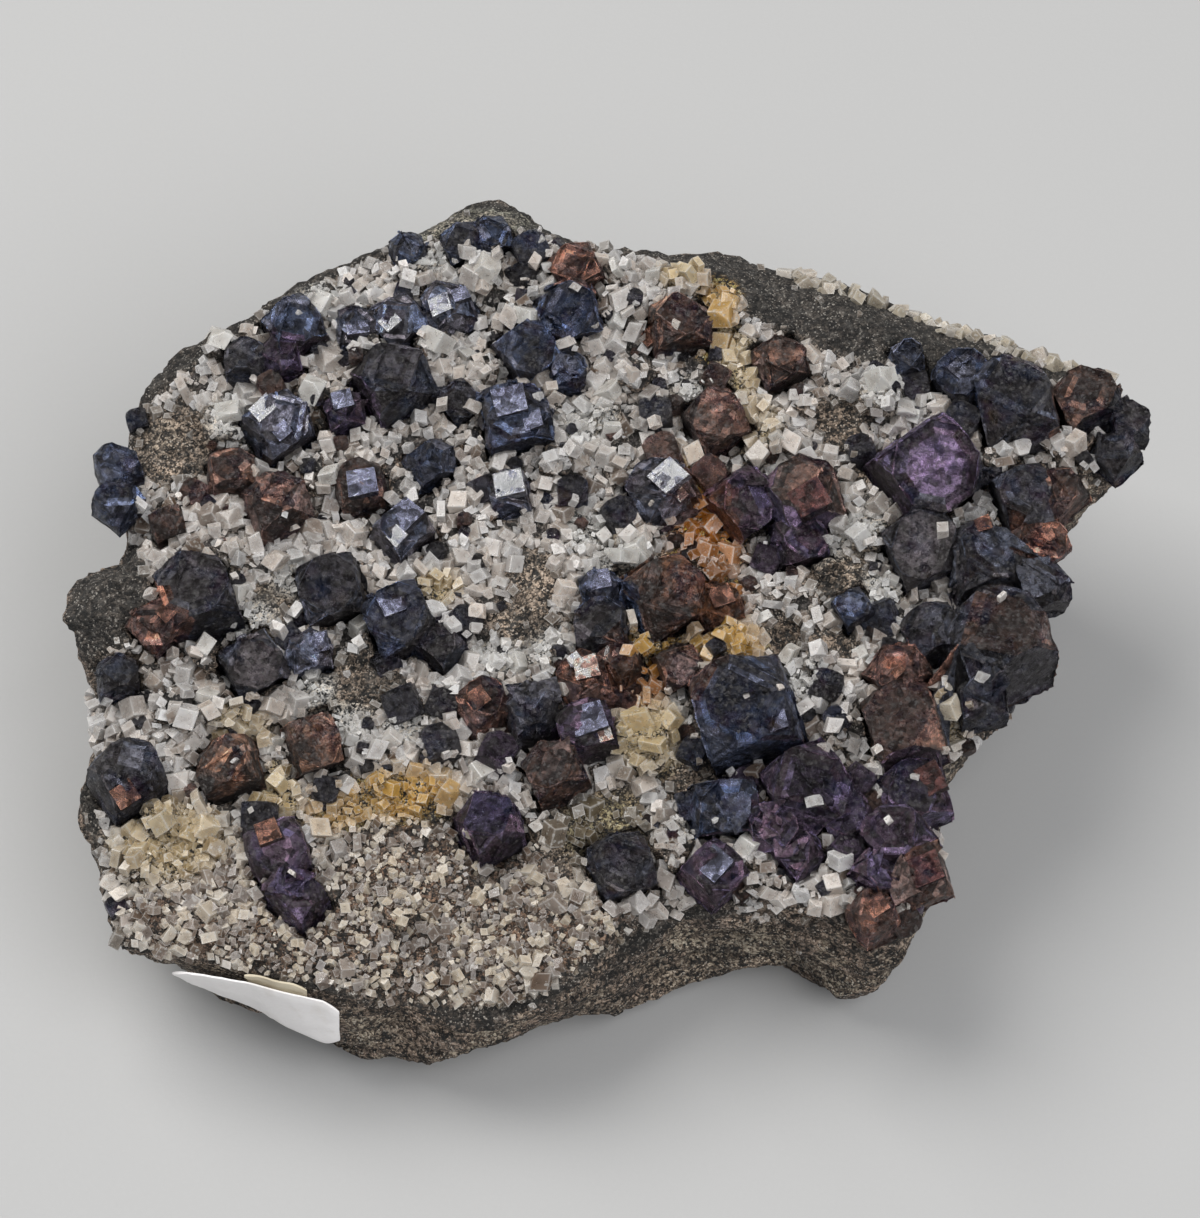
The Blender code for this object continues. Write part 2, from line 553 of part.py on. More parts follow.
def flatten_foot(rock: bpy.types.Object) -> None:
    """Cuts the slab off flat where it rests, and drops any crumb that the sockets left loose."""
    form = bmesh.new()
    form.from_mesh(rock.data)
    bmesh.ops.remove_doubles(form, verts=form.verts, dist=1e-7)
    everything = form.verts[:] + form.edges[:] + form.faces[:]
    cut = bmesh.ops.bisect_plane(form, geom=everything, plane_co=(0, 0, 0), plane_no=(0, 0, -1), clear_outer=True)
    opened = [part for part in cut["geom_cut"] if isinstance(part, bmesh.types.BMEdge)]
    bmesh.ops.holes_fill(form, edges=opened)
    bmesh.ops.triangulate(form, faces=form.faces)
    waiting = set(form.verts)
    bodies = []
    while waiting:
        body = {waiting.pop()}
        to_follow = list(body)
        while to_follow:
            vert = to_follow.pop()
            for edge in vert.link_edges:
                other = edge.other_vert(vert)
                if other in waiting:
                    waiting.remove(other)
                    body.add(other)
                    to_follow.append(other)
        bodies.append(body)
    bodies.sort(key=len)
    for crumb in bodies[:-1]:
        bmesh.ops.delete(form, geom=list(crumb), context="VERTS")
    form.to_mesh(rock.data)
    form.free()


def main() -> None:
    """Builds the specimen."""
    for old in list(bpy.data.objects):
        bpy.data.objects.remove(old)
    parts = bpy.data.collections.new("galena_on_dolomite")
    bpy.context.scene.collection.children.link(parts)
    sockets = helper_collection("sockets")
    growths = helper_collection("growths")
    rock = make_rock(parts)
    for number, crystal in enumerate(DOLOMITE):
        put("dolomite", to_mesh(dolomite_form(crystal, number), "dolomite"), growths)
    make_galena(parts, sockets)
    combine(rock, growths, "UNION")
    combine(rock, sockets, "DIFFERENCE")
    flatten_foot(rock)
    make_label("paper_label", "paper", LABEL_TURN, LABEL_DROP, LABEL_LIFT, LABEL_GRID, parts)
    make_label("old_label", "old_paper", OLD_LABEL_TURN, OLD_LABEL_DROP, OLD_LABEL_LIFT, OLD_LABEL_GRID, parts)
    for helpers in (sockets, growths):
        for helper in list(helpers.objects):
            bpy.data.objects.remove(helper)
        bpy.data.collections.remove(helpers)


main()
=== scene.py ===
"""Dresses a specimen of galena on dolomite: a broken slab of dolostone, its crust of dolomite rhombs, its galena
and the two paper labels on its side, on a pale floor in soft light.

Places on the crystal face are given as u to the right, v up the face and h above it, in millimetres.
"""

import logging
import math
import random
from dataclasses import dataclass, field
from enum import Enum
from typing import Iterable, Sequence

import bpy
import numpy as np
from mathutils import Matrix, Vector, noise
from mathutils.bvhtree import BVHTree


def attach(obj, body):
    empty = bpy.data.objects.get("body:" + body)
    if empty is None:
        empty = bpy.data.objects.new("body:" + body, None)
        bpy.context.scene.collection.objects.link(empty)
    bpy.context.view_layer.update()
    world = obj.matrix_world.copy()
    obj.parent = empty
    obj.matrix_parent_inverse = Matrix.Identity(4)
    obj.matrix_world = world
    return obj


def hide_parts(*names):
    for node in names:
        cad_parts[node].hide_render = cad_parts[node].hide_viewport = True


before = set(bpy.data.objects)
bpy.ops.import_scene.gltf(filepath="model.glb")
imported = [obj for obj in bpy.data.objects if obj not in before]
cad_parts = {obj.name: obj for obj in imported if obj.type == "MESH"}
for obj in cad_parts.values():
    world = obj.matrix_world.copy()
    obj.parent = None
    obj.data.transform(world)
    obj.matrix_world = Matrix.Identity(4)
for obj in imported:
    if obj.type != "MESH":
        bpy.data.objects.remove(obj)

LOG = logging.getLogger("specimen")
MM = 0.001
Colour = tuple[float, float, float]


@dataclass(frozen=True)
class CrystalFace:
    """The leaning upper face of the slab.

    Attributes:
        lean_deg: How far the face leans towards the viewer.
        height: How high the middle of the face stands above the foot, in millimetres.
    """

    lean_deg: float = 12.0
    height: float = 29.0

    @property
    def up(self) -> Vector:
        """The direction along the face, away from the viewer."""
        lean = math.radians(self.lean_deg)
        return Vector((0.0, math.cos(lean), math.sin(lean)))

    @property
    def normal(self) -> Vector:
        """The direction out of the face."""
        lean = math.radians(self.lean_deg)
        return Vector((0.0, -math.sin(lean), math.cos(lean)))

    def point(self, u: float, v: float, h: float = 0.0) -> Vector:
        """The place (u, v, h) in metres."""
        return (Vector((u, 0.0, self.height)) + self.up * v + self.normal * h) * MM

    def place(self, point: Vector) -> tuple[float, float, float]:
        """The (u, v, h) in millimetres of a point in metres."""
        offset = point / MM - Vector((0.0, 0.0, self.height))
        return offset.x, offset.dot(self.up), offset.dot(self.normal)


FACE = CrystalFace()


def smooth(low: float, high: float, value: float) -> float:
    """0 below low, 1 above high, and an even curve between them."""
    share = min(1.0, max(0.0, (value - low) / (high - low)))
    return share * share * (3.0 - 2.0 * share)


def blend(first: Sequence[float], second: Sequence[float], share: float) -> Colour:
    """The colour that lies a share of the way from the first to the second."""
    return tuple(a + (b - a) * share for a, b in zip(first, second))


@dataclass(frozen=True)
class Patch:
    """An oval place on the crystal face, strongest in its middle."""

    u: float
    v: float
    across: float
    along: float
    strength: float = 1.0

    def share(self, u: float, v: float) -> float:
        """How strongly the patch shows at (u, v)."""
        apart = math.hypot((u - self.u) / self.across, (v - self.v) / self.along)
        return self.strength * (1.0 - smooth(0.6, 1.4, apart))


def strongest(patches: Iterable[Patch], u: float, v: float) -> float:
    """The largest share that any of the patches has at (u, v)."""
    return max((patch.share(u, v) for patch in patches), default=0.0)


BARE = (
    Patch(-50.4, 21.4, 5.8, 6.2),
    Patch(-58.6, 1.0, 4.5, 6.5),
    Patch(-37.9, 1.0, 2.6, 2.6),
    Patch(-28.4, -9.6, 5.8, 3.8),
    Patch(-7.8, 4.0, 3.0, 4.5),
    Patch(-8.8, -1.4, 4.2, 3.2),
    Patch(27.6, 4.0, 4.2, 3.2),
    Patch(28.2, 23.4, 3.2, 4.0),
    Patch(26.6, -4.4, 3.2, 2.0),
    Patch(-1.4, -27.4, 6.9, 5.5, 0.75),
    Patch(-20.4, 27.2, 2.2, 2.0, 0.8),
    Patch(9.8, -20.0, 3.2, 3.2),
    Patch(21.6, -3.0, 2.8, 2.8),
    Patch(31.0, 17.8, 2.2, 2.2),
    Patch(-21.0, -13.6, 3.2, 2.8, 0.7),
    Patch(6.0, 6.4, 3.0, 2.5, 0.7),
)
TOP_PATCH = (Patch(-16.6, 50.6, 7.6, 2.6, 0.8),)
FINE_GROUND = (
    Patch(-18.0, -37.0, 17.0, 11.0),
    Patch(-34.0, -39.0, 9.0, 6.0),
    Patch(-2.0, -40.0, 6.0, 5.0),
    Patch(-46.0, -34.0, 9.0, 9.0, 0.8),
    Patch(-25.0, -27.0, 7.0, 5.0, 0.8),
)
SNOW = (
    Patch(2.3, 5.5, 3.4, 3.0),
    Patch(-1.2, 9.9, 2.6, 2.6),
    Patch(-45.1, 2.4, 2.8, 2.8),
    Patch(-40.4, -1.6, 2.8, 2.4),
    Patch(-35.4, 4.0, 2.4, 2.2),
    Patch(-11.8, -5.8, 3.6, 1.8),
    Patch(-5.4, -5.4, 3.0, 2.4),
    Patch(-30.0, -14.6, 4.0, 2.2),
    Patch(-22.6, -14.4, 2.6, 2.2),
    Patch(-32.6, -10.0, 2.0, 2.6),
    Patch(25.0, 7.6, 3.0, 2.2),
    Patch(30.4, 9.8, 2.6, 2.6),
    Patch(22.9, -8.6, 2.8, 2.6),
    Patch(32.4, 1.6, 2.2, 2.6),
    Patch(34.2, 27.2, 3.2, 2.8),
    Patch(-1.4, 23.4, 3.2, 3.0),
    Patch(11.8, 27.4, 2.8, 2.4),
    Patch(-43.4, 24.4, 2.4, 4.0),
    Patch(39.9, 21.4, 2.6, 2.2),
    Patch(-20.0, 44.6, 4.0, 1.8),
    Patch(-33.4, 40.6, 3.0, 1.8),
    Patch(10.0, -26.6, 3.0, 2.0, 0.8),
)
CRUST_EDGE = (
    (-20.3, 47.6), (-15.6, 48.2), (-9.6, 47.6), (-4.8, 48.1), (-1.2, 47.2), (4.8, 46.7), (10.1, 44.7),
    (13.3, 41.6), (16.1, 39.6), (17.2, 37.3), (23.7, 34.4), (29.6, 31.5), (35.4, 30.2), (41.3, 28.6),
    (53.1, 28.6), (58.9, 27.5), (62.6, 25.5), (63.6, 22.0), (62.2, 16.3), (57.4, 14.1), (56.4, 11.2),
    (53.7, 8.0), (53.8, -1.4), (51.1, -10.0), (45.9, -15.9), (39.9, -18.3), (39.5, -22.2),
    (40.2, -29.4), (39.3, -35.9), (36.4, -39.7), (31.4, -38.4), (25.9, -36.0), (18.0, -35.9),
    (11.3, -34.5), (4.5, -37.1), (0.6, -39.8), (-2.8, -42.9), (-6.7, -45.4), (-13.4, -46.6),
    (-22.0, -46.0), (-27.8, -45.2), (-33.5, -43.8), (-40.5, -42.5), (-49.3, -41.2), (-54.1, -39.4),
    (-56.3, -30.6), (-57.2, -23.4), (-58.0, -17.3), (-58.9, -11.2), (-59.3, -6.8), (-57.1, -5.1),
    (-53.0, -3.9), (-52.0, 1.1), (-52.7, 6.1), (-54.5, 9.9), (-57.2, 13.7), (-57.2, 20.1),
    (-54.6, 24.0), (-53.1, 27.6), (-48.5, 31.0), (-42.7, 35.4), (-40.2, 38.3), (-35.7, 41.0),
    (-29.8, 44.4), (-25.1, 46.7),
)


class Stain(Enum):
    """The iron stains that run through the dolomite, as linear colours."""

    ORANGE = (0.66, 0.235, 0.020)
    RUST = (0.30, 0.115, 0.028)
    AMBER = (0.76, 0.45, 0.10)
    YELLOW = (0.84, 0.64, 0.32)
    OLIVE = (0.20, 0.15, 0.075)


STAINS = (
    (Stain.ORANGE, Patch(12.4, 9.6, 4.0, 5.0)),
    (Stain.ORANGE, Patch(13.6, 1.2, 3.2, 4.2)),
    (Stain.RUST, Patch(11.0, 4.8, 3.6, 3.0, 0.95)),
    (Stain.ORANGE, Patch(11.4, 14.6, 2.6, 2.6, 0.8)),
    (Stain.AMBER, Patch(14.4, -4.4, 4.2, 3.2)),
    (Stain.AMBER, Patch(6.0, -4.8, 3.8, 3.6)),
    (Stain.ORANGE, Patch(4.2, -9.2, 3.2, 3.4, 0.85)),
    (Stain.YELLOW, Patch(5.4, -15.2, 3.8, 4.4, 0.9)),
    (Stain.AMBER, Patch(-22.0, -22.2, 6.0, 3.0)),
    (Stain.AMBER, Patch(-30.0, -24.0, 3.8, 2.4, 0.7)),
    (Stain.YELLOW, Patch(-37.2, -22.4, 2.8, 3.2, 0.9)),
    (Stain.YELLOW, Patch(-49.0, -28.0, 5.8, 4.6, 0.7)),
    (Stain.AMBER, Patch(14.2, 39.4, 2.4, 3.2, 0.9)),
    (Stain.AMBER, Patch(13.6, 34.8, 2.4, 3.2, 0.7)),
    (Stain.YELLOW, Patch(16.2, 30.6, 2.6, 3.8, 0.7)),
    (Stain.YELLOW, Patch(18.4, 23.6, 2.8, 3.6, 0.5)),
    (Stain.YELLOW, Patch(9.6, 43.2, 2.6, 2.0, 0.8)),
    (Stain.OLIVE, Patch(1.0, -26.4, 5.6, 4.4, 0.8)),
    (Stain.AMBER, Patch(9.2, 18.2, 1.8, 2.0, 0.6)),
    (Stain.YELLOW, Patch(-40.6, -14.6, 3.2, 2.6, 0.6)),
    (Stain.YELLOW, Patch(-18.6, 2.8, 2.6, 2.0, 0.7)),
    (Stain.YELLOW, Patch(39.0, -14.0, 3.0, 2.6, 0.4)),
)


# How much of a crystal's own colour a full stain covers.
STAIN_COVER = 0.97

# What the dolomite's own grey is blended with, as linear colours.
BROWN_GRAIN = (0.17, 0.100, 0.055)
WARM_GRAIN = (0.95, 0.80, 0.58)
BARE_GROUND = (0.17, 0.13, 0.09)
POWDER_WHITE = (0.90, 0.89, 0.86)
SHOWY_WHITE = (0.92, 0.90, 0.84)
RIM_CREAM = (0.60, 0.52, 0.38)


def stained(colour: Colour, u: float, v: float) -> Colour:
    """A colour with the stains that reach (u, v) washed over it."""
    for stain, patch in STAINS:
        share = patch.share(u, v)
        if share > 0.0:
            colour = blend(colour, stain.value, STAIN_COVER * share)
    return colour


class CrustMap:
    """How thickly dolomite covers the crystal face, worked out once on a fine grid."""

    LEFT, FRONT, PITCH, ACROSS, ALONG = -68.0, -56.0, 0.4, 340, 290

    def __init__(self) -> None:
        """Works the cover out from the crust's edge and the bare patches."""
        u, v = np.meshgrid(
            self.LEFT + self.PITCH * np.arange(self.ACROSS), self.FRONT + self.PITCH * np.arange(self.ALONG)
        )
        nearest = np.full(u.shape, 1e9)
        inside = np.zeros(u.shape, bool)
        for (au, av), (bu, bv) in zip(CRUST_EDGE, CRUST_EDGE[1:] + CRUST_EDGE[:1]):
            along = np.clip(
                ((u - au) * (bu - au) + (v - av) * (bv - av)) / ((bu - au) ** 2 + (bv - av) ** 2), 0, 1
            )
            nearest = np.minimum(nearest, np.hypot(u - au - along * (bu - au), v - av - along * (bv - av)))
            crosses = (av > v) != (bv > v)
            inside ^= crosses & (u < au + (v - av) * (bu - au) / (bv - av if bv != av else 1.0))
        deep = np.clip((np.where(inside, nearest, -nearest) + 0.5) / 1.2, 0, 1)
        self._within = deep
        for patch in BARE:
            apart = np.hypot((u - patch.u) / patch.across, (v - patch.v) / patch.along)
            step = np.clip((apart - 0.6) / 0.8, 0, 1)
            deep = deep * (1 - patch.strength * (1 - step * step * (3 - 2 * step)))
        self._cover = deep

    def _read(self, grid: np.ndarray, u: float, v: float) -> float:
        """What a grid holds at (u, v)."""
        column = min(self.ACROSS - 1, max(0, round((u - self.LEFT) / self.PITCH)))
        row = min(self.ALONG - 1, max(0, round((v - self.FRONT) / self.PITCH)))
        return float(grid[row, column])

    def share(self, u: float, v: float) -> float:
        """The cover at (u, v), from 0 to 1."""
        return self._read(self._cover, u, v)

    @staticmethod
    def gap(u: float, v: float) -> float:
        """How far the crust is missing at (u, v): fewer crystals grow there, and the ground there is darkened as
        painted shade between the crystals.
        """
        return smooth(0.16, 0.34, noise.noise(Vector((u / 2.4, v / 2.4, 3.7))))

    def inside(self, u: float, v: float) -> float:
        """Whether (u, v) lies inside the crust's edge, from 0 to 1, bare patches too."""
        return self._read(self._within, u, v)


CRUST = CrustMap()


class Wiring:
    """Adds and links the nodes of one node tree."""

    def __init__(self, tree: bpy.types.NodeTree) -> None:
        """Starts on a tree, which it empties.

        Args:
            tree: A material's or a group's node tree.
        """
        self.tree = tree
        tree.nodes.clear()

    def node(self, kind: str, settings: dict | None = None, **inputs: object) -> bpy.types.Node:
        """Adds a node.

        Args:
            kind: The node's Blender type.
            settings: Properties of the node itself.
            inputs: Its input sockets by name, with _ for a space, each a value or a socket to link.

        Returns:
            The new node.
        """
        made = self.tree.nodes.new(kind)
        for name, value in (settings or {}).items():
            setattr(made, name, value)
        for name, value in inputs.items():
            self.feed(made.inputs[name.replace("_", " ")], value)
        return made

    def feed(self, socket: bpy.types.NodeSocket, value: object) -> None:
        """Links a socket to an input, or sets the input's own value."""
        if isinstance(value, bpy.types.NodeSocket):
            self.tree.links.new(value, socket)
        else:
            socket.default_value = value

    def math(
        self, operation: str, first: object, second: object = 0.0, clamp: bool = False
    ) -> bpy.types.NodeSocket:
        """Adds a Math node and returns its result."""
        made = self.tree.nodes.new("ShaderNodeMath")
        made.operation = operation
        made.use_clamp = clamp
        self.feed(made.inputs[0], first)
        self.feed(made.inputs[1], second)
        return made.outputs[0]

    def mix(self, share: object, first: object, second: object, mode: str = "MIX") -> bpy.types.NodeSocket:
        """Mixes two colours and returns the result."""
        made = self.tree.nodes.new("ShaderNodeMix")
        made.data_type = "RGBA"
        made.blend_type = mode
        made.clamp_factor = True
        self.feed(made.inputs[0], share)
        self.feed(made.inputs[6], first)
        self.feed(made.inputs[7], second)
        return made.outputs[2]

    def spread(self, value: object, low: float, high: float, to_low: float = 0.0, to_high: float = 1.0) -> object:
        """Maps a value from one range to another, held inside it, and returns the result."""
        made = self.node("ShaderNodeMapRange", {"clamp": True}, Value=value)
        made.inputs["From Min"].default_value = low
        made.inputs["From Max"].default_value = high
        made.inputs["To Min"].default_value = to_low
        made.inputs["To Max"].default_value = to_high
        return made.outputs["Result"]

    def noise(self, vector: object, scale: float, detail: float = 3.0, roughness: float = 0.55) -> object:
        """Adds a noise texture and returns its value."""
        made = self.node("ShaderNodeTexNoise", Vector=vector, Scale=scale, Detail=detail, Roughness=roughness)
        return made.outputs["Fac"]

    def group(self, tree: bpy.types.NodeTree, **inputs: object) -> bpy.types.Node:
        """Places a node group."""
        made = self.tree.nodes.new("ShaderNodeGroup")
        made.node_tree = tree
        for name, value in inputs.items():
            self.feed(made.inputs[name.replace("_", " ")], value)
        return made


class Effects:
    """Shader effects that more than one material uses, each built once as a node group."""

    @staticmethod
    def _new(name: str, takes: Sequence[tuple[str, str]], gives: Sequence[tuple[str, str]]) -> tuple:
        """Starts a group with its sockets.

        Args:
            name: The group's name.
            takes: The name and type of each input.
            gives: The name and type of each output.

        Returns:
            The tree, its wiring, and its input and output nodes.
        """
        tree = bpy.data.node_groups.new(name, "ShaderNodeTree")
        for direction, sockets in (("INPUT", takes), ("OUTPUT", gives)):
            for label, kind in sockets:
                tree.interface.new_socket(label, in_out=direction, socket_type="NodeSocket" + kind)
        wiring = Wiring(tree)
        return tree, wiring, wiring.node("NodeGroupInput"), wiring.node("NodeGroupOutput")

    @classmethod
    def grain(cls) -> bpy.types.NodeTree:
        """Grains packed side by side: each grain's own tone, glints on a few of them, and their relief."""
        found = bpy.data.node_groups.get("Packed grains")
        if found:
            return found
        tree, wiring, takes, gives = cls._new(
            "Packed grains",
            (("Vector", "Vector"), ("Scale", "Float")),
            (("Tone", "Float"), ("Glint", "Float"), ("Height", "Float")),
        )
        vector = takes.outputs["Vector"]
        scale = takes.outputs["Scale"]
        cells = wiring.node("ShaderNodeTexVoronoi", {"feature": "F1"}, Vector=vector, Scale=scale)
        tone = wiring.node("ShaderNodeSeparateColor", Color=cells.outputs["Color"])
        coarse = wiring.math("MULTIPLY", scale, 0.31)
        cloud = wiring.node("ShaderNodeTexNoise", Vector=vector, Scale=coarse, Detail=4.0)
        mixed = wiring.math("ADD", wiring.math("MULTIPLY", tone.outputs["Red"], 0.6), cloud.outputs["Fac"])
        wiring.feed(gives.inputs["Tone"], wiring.spread(mixed, 0.35, 1.25))
        wiring.feed(gives.inputs["Glint"], wiring.spread(tone.outputs["Green"], 0.90, 0.94))
        low = wiring.math("MULTIPLY", cells.outputs["Distance"], -0.8)
        raised = wiring.math("ADD", low, wiring.math("MULTIPLY", tone.outputs["Blue"], 0.5))
        wiring.feed(gives.inputs["Height"], wiring.math("ADD", raised, cloud.outputs["Fac"]))
        return tree

    @classmethod
    def dust(cls) -> bpy.types.NodeTree:
        """Pale dust that lies on surfaces that face up, in patches."""
        found = bpy.data.node_groups.get("Settled dust")
        if found:
            return found
        tree, wiring, takes, gives = cls._new(
            "Settled dust",
            (("Vector", "Vector"), ("Scale", "Float"), ("Amount", "Float")),
            (("Mask", "Float"),),
        )
        normal = wiring.node("ShaderNodeNewGeometry").outputs["Normal"]
        facing = wiring.node("ShaderNodeSeparateXYZ", Vector=normal).outputs["Z"]
        patches = wiring.node(
            "ShaderNodeTexNoise", Vector=takes.outputs["Vector"], Scale=takes.outputs["Scale"], Detail=6.0
        )
        lying = wiring.math("MULTIPLY", wiring.spread(facing, 0.1, 0.9), takes.outputs["Amount"])
        wiring.feed(
            gives.inputs["Mask"],
            wiring.math("MULTIPLY", wiring.spread(patches.outputs["Fac"], 0.48, 0.66), lying, clamp=True),
        )
        return tree


@dataclass(frozen=True)
class Finish:
    """The look of one kind of surface."""

    name: str

    def build(self) -> bpy.types.Material:
        """Makes the finish's material once and returns it."""
        found = bpy.data.materials.get(self.name)
        if found:
            return found
        made = bpy.data.materials.new(self.name)
        made.use_nodes = True
        wiring = Wiring(made.node_tree)
        output = wiring.node("ShaderNodeOutputMaterial")
        shader = wiring.node("ShaderNodeBsdfPrincipled")
        wiring.feed(output.inputs["Surface"], shader.outputs["BSDF"])
        self.wire(wiring, shader)
        return made

    def wire(self, wiring: Wiring, shader: bpy.types.Node) -> None:
        """Feeds the shader. Each finish has its own way."""
        raise NotImplementedError

    @staticmethod
    def coordinates(wiring: Wiring) -> bpy.types.NodeSocket:
        """The object's own coordinates, in metres."""
        return wiring.node("ShaderNodeTexCoord").outputs["Object"]

    @staticmethod
    def painted(wiring: Wiring, name: str) -> bpy.types.Node:
        """The node that reads one of the piece's own attributes."""
        return wiring.node("ShaderNodeAttribute", {"attribute_name": name})

    @staticmethod
    def bump(wiring: Wiring, height: object, strength: float, distance: float) -> bpy.types.NodeSocket:
        """The normal that a height gives."""
        made = wiring.node("ShaderNodeBump", Height=height, Strength=strength, Distance=distance)
        return made.outputs["Normal"]


@dataclass(frozen=True)
class DolostoneFinish(Finish):
    """Sugary grey-brown dolostone: packed grains of many tones, some of them glinting."""

    name: str = "sugary_dolostone"
    grain_scale: float = 2300.0
    pale_grain: Colour = (0.55, 0.48, 0.39)
    dark_grain: Colour = (0.010, 0.009, 0.008)

    def wire(self, wiring: Wiring, shader: bpy.types.Node) -> None:
        """Feeds the shader from the ground colour, the grains and the dust."""
        where = self.coordinates(wiring)
        ground = self.painted(wiring, "ground").outputs["Color"]
        grain = wiring.group(Effects.grain(), Vector=where, Scale=self.grain_scale)
        fine = wiring.group(Effects.grain(), Vector=where, Scale=self.grain_scale * 2.3)
        tone = wiring.math("MULTIPLY", wiring.math("ADD", grain.outputs["Tone"], fine.outputs["Tone"]), 0.5)
        lifted = wiring.mix(1.0, ground, (3.6, 3.7, 3.9, 1), "MULTIPLY")
        pale = wiring.mix(1.0, lifted, (*self.pale_grain, 1), "DARKEN")
        shaded = wiring.mix(wiring.spread(tone, 0.36, 0.58, 0.0, 1.0), (*self.dark_grain, 1), ground)
        lit = wiring.mix(wiring.spread(tone, 0.55, 0.72, 0.0, 0.85), shaded, pale)
        glints = wiring.math("MULTIPLY", fine.outputs["Glint"], 0.7)
        sparkled = wiring.mix(glints, lit, wiring.mix(0.4, pale, (0.75, 0.70, 0.62, 1)))
        streaks = wiring.node("ShaderNodeMapping", Vector=where)
        streaks.inputs["Scale"].default_value = (0.35, 0.35, 1.9)
        streak = wiring.spread(wiring.noise(streaks.outputs["Vector"], 520.0, 6.0, 0.70), 0.38, 0.62, 0.40, 1.4)
        colour = wiring.mix(1.0, sparkled, streak, "MULTIPLY")
        dust = wiring.group(Effects.dust(), Vector=where, Scale=900.0, Amount=0.12)
        wiring.feed(shader.inputs["Base Color"], wiring.mix(dust.outputs["Mask"], colour, (0.36, 0.34, 0.31, 1)))
        rough = wiring.math("SUBTRACT", 0.82, wiring.math("MULTIPLY", fine.outputs["Glint"], 0.5))
        wiring.feed(shader.inputs["Roughness"], rough)
        height = wiring.math("ADD", grain.outputs["Height"], wiring.math("MULTIPLY", fine.outputs["Height"], 0.5))
        wiring.feed(shader.inputs["Normal"], self.bump(wiring, height, 1.0, 0.00048))


@dataclass(frozen=True)
class DolomiteFinish(Finish):
    """Milky, half clear dolomite: a tint of its own for each crystal, clouds inside and faint growth lines, with
    painted light: each face paler towards its edges as a painted highlight, and darker in its clear middle, partly
    its own clear patches and partly painted shade.
    """

    name: str = "milky_dolomite"
    roughness: float = 0.16
    see_through: float = 0.5
    glow: float = 0.10
    depth_shade: Colour = (0.26, 0.205, 0.16)

    def wire(self, wiring: Wiring, shader: bpy.types.Node) -> None:
        """Feeds the shader from the crystal's tint, its clouds and its growth lines, with a painted highlight on
        its edges, painted shade in its middle and painted glints on a few grains.
        """
        where = self.coordinates(wiring)
        tint = self.painted(wiring, "tint").outputs["Color"]
        cloud = wiring.noise(where, 900.0, 4.0)
        rim = self.rim(wiring)
        # Darker middles where the crystal is clear: partly its own clear patches, partly painted shade of the depth
        # seen into it.
        clear = wiring.spread(wiring.math("ADD", cloud, wiring.math("MULTIPLY", rim, 0.6)), 0.45, 1.0, 0.40, 0.0)
        milky = wiring.mix(clear, tint, wiring.mix(1.0, tint, (*self.depth_shade, 1), "MULTIPLY"))
        # A pale rim near the faces' edges: a painted highlight.
        milky = wiring.mix(wiring.spread(rim, 0.78, 0.98, 0.0, 0.45), milky, (0.92, 0.905, 0.87, 1))
        # A few grains are painted near white: painted glints.
        grain = wiring.group(Effects.grain(), Vector=where, Scale=3800.0)
        glint_painted = wiring.mix(wiring.math("MULTIPLY", grain.outputs["Glint"], 0.5), milky, (0.86, 0.85, 0.80, 1))
        specks = wiring.spread(wiring.noise(where, 2600.0, 2.0), 0.66, 0.72, 0.0, 0.6)
        wiring.feed(shader.inputs["Base Color"], wiring.mix(specks, glint_painted, (0.10, 0.08, 0.06, 1)))
        wiring.feed(
            shader.inputs["Roughness"], wiring.spread(cloud, 0.3, 0.7, self.roughness, self.roughness + 0.25)
        )
        shader.inputs["Transmission Weight"].default_value = self.see_through
        shader.inputs["Subsurface Weight"].default_value = self.glow
        shader.inputs["Subsurface Radius"].default_value = (1.0, 0.92, 0.80)
        shader.inputs["Subsurface Scale"].default_value = 0.0011
        shader.inputs["IOR"].default_value = 1.6
        lines = wiring.noise(where, 4200.0, 3.0)
        wiring.feed(shader.inputs["Normal"], self.bump(wiring, wiring.math("ADD", lines, cloud), 0.30, 0.00014))

    def rim(self, wiring: Wiring) -> bpy.types.NodeSocket:
        """How near the edge of its face a point lies, from 0 to 1: the middle one of its three distances."""
        spot = wiring.node("ShaderNodeVectorMath", {"operation": "ABSOLUTE"})
        wiring.feed(spot.inputs[0], self.painted(wiring, "inner").outputs["Vector"])
        axes = wiring.node("ShaderNodeSeparateXYZ", Vector=spot.outputs["Vector"]).outputs
        low = wiring.math("MINIMUM", axes["X"], axes["Y"])
        high = wiring.math("MAXIMUM", axes["X"], axes["Y"])
        return wiring.math("MULTIPLY", wiring.math("MAXIMUM", low, wiring.math("MINIMUM", high, axes["Z"])), 2.0)


